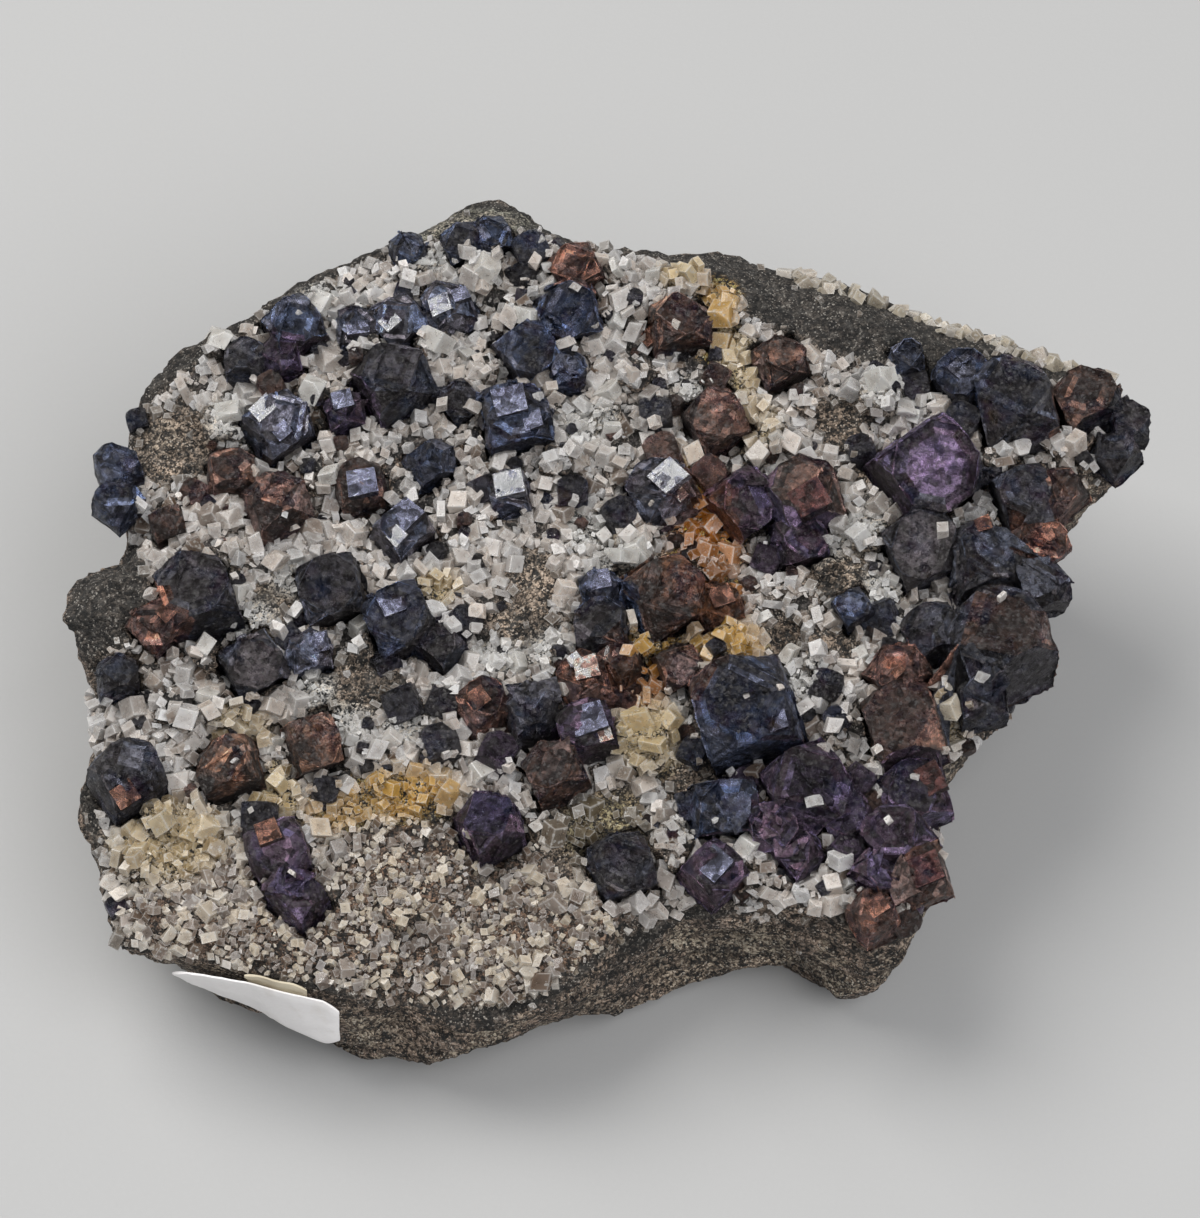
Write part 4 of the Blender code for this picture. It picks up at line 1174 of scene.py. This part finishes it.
@dataclass
class GalenaGrowth:
    """The galena: dark crystals with stepped, worn and tarnished faces, one piece for each solid."""

    edge_wear: float = 0.00012
    longest_edge: float = 0.00068
    swell: float = -0.20
    slighter: float = 0.89
    finish: Finish = field(default_factory=GalenaFinish)

    LOOKS = (
        (Look.BLUE, (
            (-22.8, 45.4), (-16.4, 46.4), (-12.8, 47.4), (-36.2, 35.6), (-56.4, 17.8), (-56.2, 13.4),
            (-19.6, 18.2), (-9.8, 23.4), (-8.6, 32.3), (-3.8, 29.8), (-3.8, 37.2), (-23.0, -2.2),
            (0.0, 2.0), (16.6, -13.4), (14.0, -24.8), (36.2, 31.2), (43.2, 28.0), (29.2, -0.6),
        )),
        (Look.SILVER, (
            (-18.0, 38.0), (-23.6, 36.3), (-28.7, 35.7), (-37.6, 22.8), (-22.8, 9.2), (-10.6, 14.2),
            (7.0, 14.3), (-33.2, -5.6),
        )),
        (Look.VIOLET, (
            (-37.6, 31.9), (-29.9, 24.6), (16.8, 13.0), (-1.6, -15.4), (23.8, -22.6), (19.2, -27.0),
            (22.2, -30.0), (-12.6, -26.6), (12.8, -32.4), (-36.4, -29.6), (-34.0, -34.9), (23.2, 8.2),
            (33.6, -28.6), (28.0, -26.0), (31.2, -33.0), (38.2, 16.0), (35.6, -23.4),
        )),
        (Look.RUST, (
            (-43.0, 17.0), (-37.5, 12.6), (-28.0, 15.2), (9.6, 35.9), (13.6, 23.6), (-50.2, 10.4),
            (7.6, 1.2), (2.6, -7.0), (9.2, -7.6), (-5.2, -20.2), (21.4, 31.0), (57.2, 25.2),
            (23.6, 13.2), (53.6, 13.8), (45.0, -6.0), (34.6, -15.2), (35.8, -33.4),
        )),
        (Look.BROWN, (
            (-32.6, -16.8), (-42.4, -19.4), (8.8, 37.6), (7.0, 3.4),
        )),
        (Look.COPPER, (
            (-2.8, 43.0), (-50.8, -3.0), (-1.6, -9.0), (-13.4, -12.4), (13.6, 0.4), (50.6, 7.4),
            (34.2, -8.6), (30.6, -37.6),
        )),
        (Look.BLACK, (
            (-41.9, 31.2), (-24.2, 28.4), (-16.6, 26.2), (-46.4, 0.8), (-31.0, 1.8), (-39.9, -7.0),
            (-18.2, -5.2), (-55.2, -8.8), (-53.6, -21.0), (0.0, -2.4), (-7.8, -13.3), (2.6, -31.4),
            (61.8, 22.4), (60.2, 18.8), (49.4, 13.0), (37.4, 6.6), (50.8, 2.0), (43.4, -11.6),
            (38.2, -4.0), (48.6, 24.2), (44.4, 4.6),
        )),
    )
    FACETS = (
        Facet(7.9, 14.9, 3.2, 40, -8, -14, Look.MIRROR),
        Facet(9.4, 12.9, 1.2, 40, 10, -8, Look.PINK),
        Facet(-22.5, 10.4, 3.1, 44, -5, -10, Look.LAVENDER),
        Facet(-23.4, 7.6, 1.8, 44, 2, -16, Look.MIRROR),
        Facet(-39.2, 23.6, 2.4, 35, -8, -18, Look.MIRROR),
        Facet(-37.0, 20.6, 1.8, 35, -2, -12, Look.LAVENDER),
        Facet(-24.7, 35.2, 2.0, 40, -6, -16, Look.MIRROR),
        Facet(-28.7, 35.2, 2.4, 5, -12, -4, Look.LAVENDER),
        Facet(-18.8, 37.2, 2.2, 20, -7, -17, Look.MIRROR),
        Facet(-16.4, 38.6, 1.8, 20, -14, 0, Look.LAVENDER),
        Facet(-10.4, 14.4, 2.9, 8, -8, -14, Look.MIRROR),
        Facet(-30.2, 25.3, 2.2, 15, -4, -6, Look.LAVENDER),
        Facet(-27.6, 14.6, 3.0, 10, -8, -4, Look.LAVENDER),
        Facet(-1.3, 42.0, 2.0, 25, -4, -12, Look.BRONZE),
        Facet(-10.6, 24.2, 3.4, 12, -9, -6, Look.LAVENDER),
        Facet(-7.8, 21.8, 2.0, 12, 2, -14, Look.LAVENDER),
        Facet(-1.5, -8.4, 2.5, 10, -7, -15, Look.PINK),
        Facet(-2.9, -7.2, 1.4, 30, 2, -20, Look.MIRROR),
        Facet(0.9, -6.2, 1.5, 35, -4, -10, Look.PINK),
        Facet(-1.2, -14.8, 3.2, 15, -7, -13, Look.LAVENDER),
        Facet(0.6, -16.8, 1.4, 15, 8, -6, Look.PINK),
        Facet(-13.9, -12.4, 2.2, 35, -2, -8, Look.BRONZE),
        Facet(24.2, 11.8, 3.6, 30, 4, -4, Look.MAROON),
        Facet(34.0, -8.4, 2.4, 40, -2, -10, Look.BRONZE),
        Facet(30.9, -37.2, 2.0, 30, 2, -8, Look.BRONZE),
        Facet(44.2, 8.4, 1.6, 15, -2, -10, Look.BRONZE),
        Facet(20.0, -16.4, 2.0, 15, 0, -12, Look.LAVENDER),
        Facet(12.8, -32.2, 3.0, 45, -6, -8, Look.LAVENDER),
        Facet(-32.4, -5.0, 2.4, 10, -4, -10, Look.LAVENDER),
        Facet(-23.8, -1.4, 2.4, 25, -10, -4, Look.LAVENDER),
        Facet(-37.2, -28.4, 2.4, 20, -4, -8, Look.BRONZE),
        Facet(-53.4, -24.0, 2.4, 35, 22, -4, Look.BRONZE),
        Facet(-49.4, -2.6, 1.8, 45, 0, -10, Look.BRONZE),
        Facet(0.0, 2.8, 2.2, 10, -6, -6, Look.LAVENDER),
        Facet(43.2, 28.6, 3.2, 40, -10, -4, Look.SILVER),
        Facet(5.8, 34.8, 1.8, 40, -2, -8, Look.BRONZE),
        Facet(14.0, 0.8, 2.2, 20, -4, -8, Look.BRONZE),
        Facet(36.4, -33.2, 3.0, 20, 0, -6, Look.MAROON),
        Facet(37.0, -22.4, 3.2, 25, -2, -8, Look.MAROON),
        Facet(51.4, 7.6, 1.8, 25, -2, -8, Look.BRONZE),
        Facet(19.3, -32.2, 1.6, 30, 0, -10, Look.PINK),
    )
    TERRACES = (
        (4.5e-6, 9e-6, 0.00034, -0.00013, 0.00030, 0.00016),
        (9e-6, 18e-6, 0.00048, 0.00016, 0.00052, 0.00014),
        (9e-6, 18e-6, 0.00062, -0.00014, 0.00046, 0.00018),
        (18e-6, 1.0, 0.00070, 0.00020, 0.00080, 0.00018),
        (18e-6, 1.0, 0.00090, -0.00016, 0.00070, 0.00022),
    )

    def build(self) -> list[bpy.types.Object]:
        """Makes a piece for each galena solid and returns them all."""
        pieces = []
        nodes = sorted(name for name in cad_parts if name.startswith("galena"))
        for name in nodes:
            piece = merged_copy(name, name.replace("galena", "tarnished"))
            if "crystal" in name:
                places, _ = vertex_places(piece.data)
                middle = (places.min(axis=0) + places.max(axis=0)) / 2
                piece.data.vertices.foreach_set("co", (middle + (places - middle) * self.slighter).ravel())
            self._grow(piece)
            piece.data.materials.append(self.finish.build())
            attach(piece, "root")
            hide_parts(name)
            pieces.append(piece)
        solids = surface(pieces)
        steps = [self._step(facet, solids) for facet in self.FACETS]
        only(steps[0])
        for step in steps:
            step.select_set(True)
        bpy.ops.object.join()
        bright = steps[0]
        bright.name = "bright_steps"
        bright.data.materials.append(self.finish.build())
        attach(bright, "root")
        pieces.append(bright)
        LOG.info("galena: %d pieces, %d bright steps", len(nodes), len(self.FACETS))
        return pieces

    def _grow(self, piece: bpy.types.Object) -> None:
        """Gives a crystal or cluster its steps, worn edges, tints and rough faces."""
        only(piece)
        bpy.ops.object.mode_set(mode="EDIT")
        bpy.ops.mesh.select_all(action="SELECT")
        bpy.ops.mesh.dissolve_limited(angle_limit=math.radians(1.0))
        bpy.ops.object.mode_set(mode="OBJECT")
        solid = surface([piece])
        self._terrace(piece)
        for vert in piece.data.vertices:
            near, _, _, apart = solid.find_nearest(vert.co)
            if apart > 0.0004:
                vert.co = near
        wear = piece.modifiers.new("Worn edges", "BEVEL")
        wear.width = self.edge_wear
        wear.segments = 1
        wear.limit_method = "ANGLE"
        wear.angle_limit = math.radians(28)
        bpy.ops.object.modifier_apply(modifier=wear.name)
        self._tint(piece)
        self._refine(piece)
        places, normals = vertex_places(piece.data)
        for index in range(len(places)):
            point = Vector(places[index]) / MM
            chips = math.floor(5.0 * noise.noise(point / 1.5)) / 5.0
            rise = self.swell + 0.07 * noise.noise(point / 0.5) + 0.27 * chips + 0.05 * noise.noise(point / 2.6)
            places[index] += normals[index] * rise * MM
        piece.data.vertices.foreach_set("co", places.ravel())
        piece.data.update()
        only(piece)
        bpy.ops.object.shade_smooth_by_angle(angle=math.radians(13))

    def _tint(self, piece: bpy.types.Object) -> None:
        """Gives each face the colour of its crystal, lighter or darker by its own plane, with painted highlights:
        narrow worn-edge faces painted brighter, and some upward faces painted much brighter.
        """
        colours = []
        mesh = piece.data
        for face in mesh.polygons:
            u, v, _ = FACE.place(face.center)
            look = min(
                ((math.hypot(u - a, v - b), name) for name, places in self.LOOKS for a, b in places),
                key=lambda found: found[0],
            )[1]
            red, green, blue, polish = look.value
            plane = round(face.normal.x * 40) * 7919 + round(face.normal.y * 40) * 31
            chance = random.Random(plane + round(face.center.dot(face.normal) * 9000))
            tone = chance.uniform(0.4, 1.4)
            around = sum((mesh.vertices[a].co - mesh.vertices[b].co).length for a, b in face.edge_keys)
            # Narrow faces along the worn edges are painted brighter: a painted highlight on the edges.
            if face.area < 0.018 * around**2:
                tone = chance.uniform(0.8, 3.6)
            # About a quarter of the upward faces are painted far brighter: a painted highlight of the light from
            # above.
            elif chance.random() < 0.26 and face.normal.z > 0.3:
                tone *= 3.6
            shift = chance.uniform(-0.14, 0.14)
            colour = (red * tone * (1 + shift), green * tone, blue * tone * (1 - shift))
            rusty = strongest((patch for stain, patch in STAINS if stain in (Stain.ORANGE, Stain.RUST)), u, v)
            colour = blend(colour, (0.16, 0.062, 0.018), 0.65 * rusty)
            colours.append((*colour, min(1.0, polish * chance.uniform(0.4, 1.5))))
        paint(piece.data, "tint", "FACE", colours)

    def _terrace(self, piece: bpy.types.Object) -> None:
        """Raises or sinks steps of growth, one inside another, on the open faces."""
        chance = random.Random(piece.name)
        done: list[Vector] = []
        bpy.context.tool_settings.mesh_select_mode = (False, False, True)
        for low, high, first, first_rise, second, second_rise in self.TERRACES:
            mesh = piece.data
            chosen = []
            for face in mesh.polygons:
                compact = face.area > 0.045 * sum(
                    (mesh.vertices[a].co - mesh.vertices[b].co).length for a, b in face.edge_keys
                ) ** 2
                fresh = all((face.center - old).length > 0.0022 for old in done)
                if low < face.area <= high and face.normal.z > -0.1 and compact and fresh and chance.random() < 0.7:
                    chosen.append(face.index)
            if not chosen:
                continue
            mesh.polygons.foreach_set("select", [False] * len(mesh.polygons))
            mesh.edges.foreach_set("select", [False] * len(mesh.edges))
            mesh.vertices.foreach_set("select", [False] * len(mesh.vertices))
            for index in chosen:
                mesh.polygons[index].select = True
                done.append(mesh.polygons[index].center.copy())
            bpy.ops.object.mode_set(mode="EDIT")
            bpy.ops.mesh.inset(thickness=first, depth=first_rise, use_individual=True)
            bpy.ops.mesh.inset(thickness=second, depth=second_rise, use_individual=True)
            bpy.ops.object.mode_set(mode="OBJECT")

    def _refine(self, piece: bpy.types.Object) -> None:
        """Divides the faces until no edge is long, so that they can take a fine relief."""
        mesh = piece.data
        bpy.ops.object.mode_set(mode="EDIT")
        bpy.ops.mesh.select_all(action="SELECT")
        bpy.ops.mesh.quads_convert_to_tris(quad_method="SHORTEST_DIAGONAL", ngon_method="CLIP")
        bpy.ops.mesh.select_mode(type="EDGE")
        for _ in range(5):
            bpy.ops.mesh.select_all(action="DESELECT")
            bpy.ops.object.mode_set(mode="OBJECT")
            ends = np.empty(len(mesh.edges) * 2, np.int32)
            mesh.edges.foreach_get("vertices", ends)
            places, _ = vertex_places(mesh)
            ends = ends.reshape(-1, 2)
            long_ones = np.linalg.norm(places[ends[:, 0]] - places[ends[:, 1]], axis=1) > self.longest_edge
            if not long_ones.any():
                bpy.ops.object.mode_set(mode="EDIT")
                break
            mesh.edges.foreach_set("select", long_ones)
            bpy.ops.object.mode_set(mode="EDIT")
            bpy.ops.mesh.subdivide(number_cuts=1)
            bpy.ops.mesh.select_all(action="SELECT")
            bpy.ops.mesh.quads_convert_to_tris(quad_method="SHORTEST_DIAGONAL", ngon_method="CLIP")
        bpy.ops.object.mode_set(mode="OBJECT")

    @staticmethod
    def _step(facet: Facet, solids: BVHTree) -> bpy.types.Object:
        """Models one bright step, sunk in the crystal that carries it, its top rim painted brighter as a painted
        highlight and its sides painted dark as painted shade.
        """
        ray = FACE.point(facet.u, facet.v, 16.0)
        found = solids.ray_cast(ray, -FACE.normal)
        place = found[0] if found[0] is not None else FACE.point(facet.u, facet.v)
        bpy.ops.object.select_all(action="DESELECT")
        size = 1.12 * facet.across * MM
        bpy.ops.mesh.primitive_cube_add(size=size, location=(0.0, 0.0, 0.0))
        piece = bpy.context.object
        middle = (0.0, 0.0, 0.0)
        bpy.ops.object.mode_set(mode="EDIT")
        bpy.ops.mesh.select_all(action="SELECT")
        bpy.ops.transform.vertex_random(offset=0.09 * size, seed=1 + int(abs(facet.u * 10)))
        bpy.ops.transform.resize(value=(1.0, 1.0, 0.3), center_override=middle)
        bpy.ops.mesh.select_mode(type="FACE")
        bpy.ops.mesh.select_all(action="DESELECT")
        bpy.ops.object.mode_set(mode="OBJECT")
        for face in piece.data.polygons:
            face.select = face.normal.z > 0.9
        bpy.ops.object.mode_set(mode="EDIT")
        bpy.ops.mesh.inset(thickness=size * 0.07, depth=-size * 0.012)
        bpy.ops.mesh.select_all(action="SELECT")
        bpy.ops.mesh.bevel(offset=size * 0.012, segments=1, affect="EDGES")
        bpy.ops.object.mode_set(mode="OBJECT")
        turned = Matrix.Rotation(math.radians(FACE.lean_deg + facet.tip_x), 4, "X")
        turned = turned @ Matrix.Rotation(math.radians(facet.tip_y), 4, "Y")
        turned = turned @ Matrix.Rotation(math.radians(facet.turn), 4, "Z")
        sunk = -0.15 * size + 0.00022
        piece.data.transform(Matrix.Translation(place + FACE.normal * sunk) @ turned)
        red, green, blue, polish = facet.look.value
        tints = []
        for face in piece.data.polygons:
            facing = face.normal.dot(turned.to_3x3() @ Vector((0, 0, 1)))
            inside = facing > 0.9 and math.hypot(*(turned.inverted() @ face.center).xy) < 0.3 * size
            # Painted light: the top rim brightest as a painted highlight, the middle a little darker, the sides
            # dark as painted shade.
            tone = 0.85 if inside else 1.7 if facing > 0.4 else 0.25
            tints.append((red * tone, green * tone, blue * tone, polish if facing > 0.4 else 0.3))
        paint(piece.data, "tint", "FACE", tints)
        return piece


@dataclass
class GalenaGrains:
    """The small galena: crystals too small to be solids of their own, and grains among the dolomite."""

    rock: BVHTree
    galena: BVHTree
    seed: int = 23
    scattered: int = 420
    finish: Finish = field(default_factory=GalenaFinish)

    SMALL = (
        (Look.BLACK, (
            (-23.2, 40.5, 2.3), (-54.7, 25.5, 2.5), (-8.9, 42.3, 3.0), (6.5, 24.3, 3.8),
            (-13.7, 14.8, 3.0), (-3.3, 14.5, 3.5), (2.4, 11.3, 4.0), (-15.8, -1.7, 3.5),
            (-18.1, -11.7, 3.5), (40.6, 30.0, 2.5), (-18.3, -17.0, 4.0), (37.2, 28.4, 3.0),
            (42.4, 22.8, 4.0), (58.3, 15.4, 1.6), (-22.5, -12.0, 4.0), (-31.3, -21.8, 3.0),
            (-38.6, -25.6, 4.2), (-54.5, -35.6, 2.3), (25.7, -9.2, 3.5), (50.4, -7.4, 3.2),
            (47.6, -13.4, 2.8), (53.2, -0.6, 2.6), (61.4, 17.0, 2.6), (63.2, 19.6, 2.6),
            (-52.6, -10.8, 2.6), (-24.6, -7.2, 3.2), (11.4, -9.6, 3.0), (30.6, 19.8, 3.2),
            (44.6, -15.0, 2.6),
        )),
        (Look.BLUE, (
            (-27.7, 24.2, 2.5), (-8.3, 45.8, 4.0), (-11.3, -11.5, 3.0), (32.5, -1.0, 4.2),
            (-58.4, 20.6, 2.6), (-57.4, 22.6, 2.3), (-58.8, 15.6, 2.5), (-58.8, 18.2, 2.8),
            (-57.2, 10.8, 2.8), (-58.8, 13.2, 2.3), (-31.4, -4.0, 3.0), (-20.4, -6.4, 3.4),
            (10.6, -17.4, 3.0), (10.4, -23.4, 3.4),
        )),
        (Look.RUST, (
            (-38.9, 28.4, 3.0), (13.7, 29.6, 3.0), (7.4, 19.4, 4.0), (3.8, -2.5, 3.0),
            (-5.9, -16.5, 4.0), (-12.1, -14.9, 3.6), (16.2, -33.0, 3.0), (44.0, 9.2, 2.2),
            (33.7, -37.2, 3.5), (39.0, -29.5, 2.5), (29.9, -34.3, 2.3), (52.6, 4.8, 3.0),
            (55.6, 9.8, 2.8), (54.8, 28.2, 3.0), (59.8, 27.2, 2.6), (-47.2, 14.6, 3.0),
            (47.0, 8.8, 3.0), (30.8, -24.2, 3.0), (26.4, -19.0, 3.0),
        )),
        (Look.VIOLET, (
            (-11.8, -17.9, 4.0), (19.4, 6.7, 3.2), (36.2, -38.0, 2.5), (33.6, -35.4, 4.0),
            (27.6, -29.6, 3.2), (-36.2, -33.4, 3.4), (17.0, -21.2, 3.6), (29.4, -21.6, 2.8),
        )),
        (Look.COPPER, (
            (5.6, 35.3, 2.6), (12.6, 17.0, 3.6), (2.1, -11.0, 4.0), (4.0, -9.4, 2.6), (11.2, 5.4, 3.0),
        )),
        (Look.SILVER, (
            (40.0, 21.6, 3.8), (27.0, -14.3, 2.5), (-35.6, -3.4, 3.0), (17.2, -27.6, 3.0),
        )),
    )

    def build(self) -> bpy.types.Object:
        """Makes one piece of all the small galena and returns it."""
        template = self._model()
        chance = random.Random(self.seed)
        grains: list[Rhomb] = []
        for look, places in self.SMALL:
            for u, v, across in places:
                self._seat(grains, chance, u, v, across, look)
        for _ in range(self.scattered):
            u = chance.uniform(-60.0, 63.0)
            v = chance.uniform(-44.0, 50.0)
            across = chance.uniform(0.9, 1.9)
            if chance.random() < CRUST.share(u, v) * (1.0 - min(1.0, 2.0 * strongest(FINE_GROUND, u, v))):
                self._seat(grains, chance, u, v, across, chance.choice((Look.BLACK, Look.RUST, Look.BLACK)))
        piece = joined("galena_grains", grains, [template], self.finish.build())
        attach(piece, "root")
        LOG.info("small galena: %d crystals", len(grains))
        return piece

    @staticmethod
    def _model() -> Template:
        """Models one small crystal: a cube with its corners cut off."""
        bpy.ops.object.select_all(action="DESELECT")
        bpy.ops.mesh.primitive_cube_add(size=1.0, location=(0.0, 0.0, 0.0))
        bpy.ops.object.mode_set(mode="EDIT")
        bpy.ops.mesh.select_all(action="SELECT")
        bpy.ops.mesh.bevel(offset=0.30, segments=1, affect="VERTICES")
        bpy.ops.mesh.select_all(action="SELECT")
        bpy.ops.mesh.bevel(offset=0.03, segments=1, affect="EDGES")
        bpy.ops.object.mode_set(mode="OBJECT")
        return taken_as_template(bpy.context.object, vertex_places(bpy.context.object.data)[0])

    def _seat(
        self, grains: list[Rhomb], chance: random.Random, u: float, v: float, across: float, look: Look
    ) -> None:
        """Adds a crystal where the face meets a ray at (u, v), a quarter sunk.

        Args:
            grains: The crystals so far, which it adds to.
            chance: The random numbers.
            u: How far right.
            v: How far up the face.
            across: The crystal's size, in millimetres.
            look: How it has tarnished.
        """
        ray = FACE.point(u, v, 16.0)
        ground, normal, _, depth = self.rock.ray_cast(ray, -FACE.normal)
        if ground is None or normal.dot(FACE.normal) < 0.2:
            return
        metal = self.galena.ray_cast(ray, -FACE.normal)
        if metal[0] is not None and metal[3] < depth - 0.001 and across < 2.2:
            return
        lean = normal.lerp(FACE.normal, 0.5).normalized()
        turn = Vector((0, 0, 1)).rotation_difference(lean).to_matrix()
        turn = turn @ Matrix.Rotation(math.radians(chance.uniform(-22, 22)), 3, "X")
        turn = turn @ Matrix.Rotation(chance.uniform(0.0, math.tau), 3, "Z")
        red, green, blue, _ = look.value
        tone = chance.uniform(0.5, 1.4)
        place = ground + lean * across * MM * chance.uniform(-0.05, 0.12)
        grains.append(
            Rhomb(place, across, turn, (red * tone, green * tone, blue * tone), 0, chance.uniform(0.1, 0.6))
        )


@dataclass
class PaperLabels:
    """The two labels on the front left side: a white one with nothing on it, and the torn edge of an older one."""

    new: Finish = field(default_factory=PaperFinish)
    old: Finish = field(
        default_factory=lambda: PaperFinish("old_label_paper", (0.60, 0.53, 0.39), (0.28, 0.20, 0.12), 0.6)
    )

    def build(self) -> list[bpy.types.Object]:
        """Makes both labels and returns them."""
        pieces = []
        for node, name, slot, finish, crease in (
            ("paper_label", "white_label", "paper", self.new, 0.10),
            ("old_label", "torn_old_label", "old_paper", self.old, 0.22),
        ):
            piece = merged_copy(node, name)
            only(piece)
            bpy.ops.object.mode_set(mode="EDIT")
            bpy.ops.mesh.select_all(action="SELECT")
            bpy.ops.mesh.subdivide(number_cuts=3, smoothness=0.5)
            bpy.ops.object.mode_set(mode="OBJECT")
            places, _ = vertex_places(piece.data)
            out = Vector((-0.62, -0.78, 0.0))
            for index in range(len(places)):
                point = Vector(places[index]) / MM
                lift = crease * (noise.noise(point / 3.0) + 0.6 * noise.noise(point / 1.1))
                places[index] += np.array(out * lift * MM, np.float32)
            piece.data.vertices.foreach_set("co", places.ravel())
            piece.data.update()
            piece.data.materials.append(finish.build())
            bpy.ops.object.shade_smooth_by_angle(angle=math.radians(40))
            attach(piece, "root")
            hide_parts(node)
            pieces.append(piece)
        LOG.info("labels: %s", ", ".join(piece.name for piece in pieces))
        return pieces


@dataclass(frozen=True)
class SoftLight:
    """A square lamp that points at the specimen.

    Attributes:
        name: Its name.
        place: Where it hangs, in metres.
        side: Its side, in metres.
        watts: Its power.
        colour: Its colour.
    """

    name: str
    place: Colour
    side: float
    watts: float
    colour: Colour = (1.0, 1.0, 1.0)

    def hang(self, target: Vector) -> None:
        """Adds the lamp, turned to the target."""
        light = bpy.data.lights.new(self.name, "AREA")
        light.shape = "SQUARE"
        light.size = self.side
        light.energy = self.watts
        light.color = self.colour
        lamp = bpy.data.objects.new(self.name, light)
        lamp.location = self.place
        lamp.rotation_euler = (target - Vector(self.place)).to_track_quat("-Z", "Y").to_euler()
        bpy.context.scene.collection.objects.link(lamp)


@dataclass
class Studio:
    """The camera, the pale floor and the soft lights."""

    target: Colour = (0.0, 0.0, 0.029)
    distance: float = 0.5
    elevation_deg: float = 56.0
    frame_height: float = 0.1407
    floor_side: float = 6.0
    sky: Colour = (0.80, 0.82, 0.85)
    sky_strength: float = 0.355
    lights: tuple[SoftLight, ...] = (
        SoftLight("window", (-0.45, 0.34, 0.90), 0.75, 9.9, (1.0, 0.985, 0.965)),
        SoftLight("ceiling", (0.45, -0.50, 0.85), 0.9, 7.9, (0.985, 0.985, 1.0)),
    )

    def build(self) -> None:
        """Sets up the camera, the floor and the lights."""
        target = Vector(self.target)
        elevation = math.radians(self.elevation_deg)
        back = Vector((0.0, -math.cos(elevation), math.sin(elevation)))
        data = bpy.data.cameras.new("camera")
        data.sensor_width = 36.0
        data.lens = data.sensor_width * self.distance / self.frame_height
        data.clip_start = 0.01
        camera = bpy.data.objects.new("camera", data)
        camera.location = target + back * self.distance
        camera.rotation_euler = (-back).to_track_quat("-Z", "Y").to_euler()
        bpy.context.scene.collection.objects.link(camera)
        bpy.context.scene.camera = camera
        for light in self.lights:
            light.hang(target)
        world = bpy.data.worlds.new("room")
        world.use_nodes = True
        room = world.node_tree.nodes["Background"]
        room.inputs["Color"].default_value = (*self.sky, 1)
        room.inputs["Strength"].default_value = self.sky_strength
        bpy.context.scene.world = world
        bpy.context.scene.view_settings.view_transform = "Standard"
        bpy.ops.object.select_all(action="DESELECT")
        bpy.ops.mesh.primitive_plane_add(size=self.floor_side, location=(0.0, 0.0, -0.0002))
        floor = bpy.context.object
        floor.name = "floor"
        floor.data.materials.append(FloorFinish().build())
        LOG.info("studio: camera %.3f m from the specimen, %d lights", self.distance, len(self.lights))


def main() -> None:
    """Builds every piece in order."""
    logging.basicConfig(level=logging.INFO, format="%(name)s: %(message)s")
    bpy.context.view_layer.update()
    Studio().build()
    rock = RockBody().build()
    galena = GalenaGrowth().build()
    labels = PaperLabels().build()
    ground = surface([rock])
    metal = surface(galena)
    grains = GalenaGrains(rock=ground, galena=metal).build()
    DolomiteCrust(rock=ground, galena=surface([*galena, grains]), labels=surface(labels)).build()


if __name__ == "__main__":
    main()
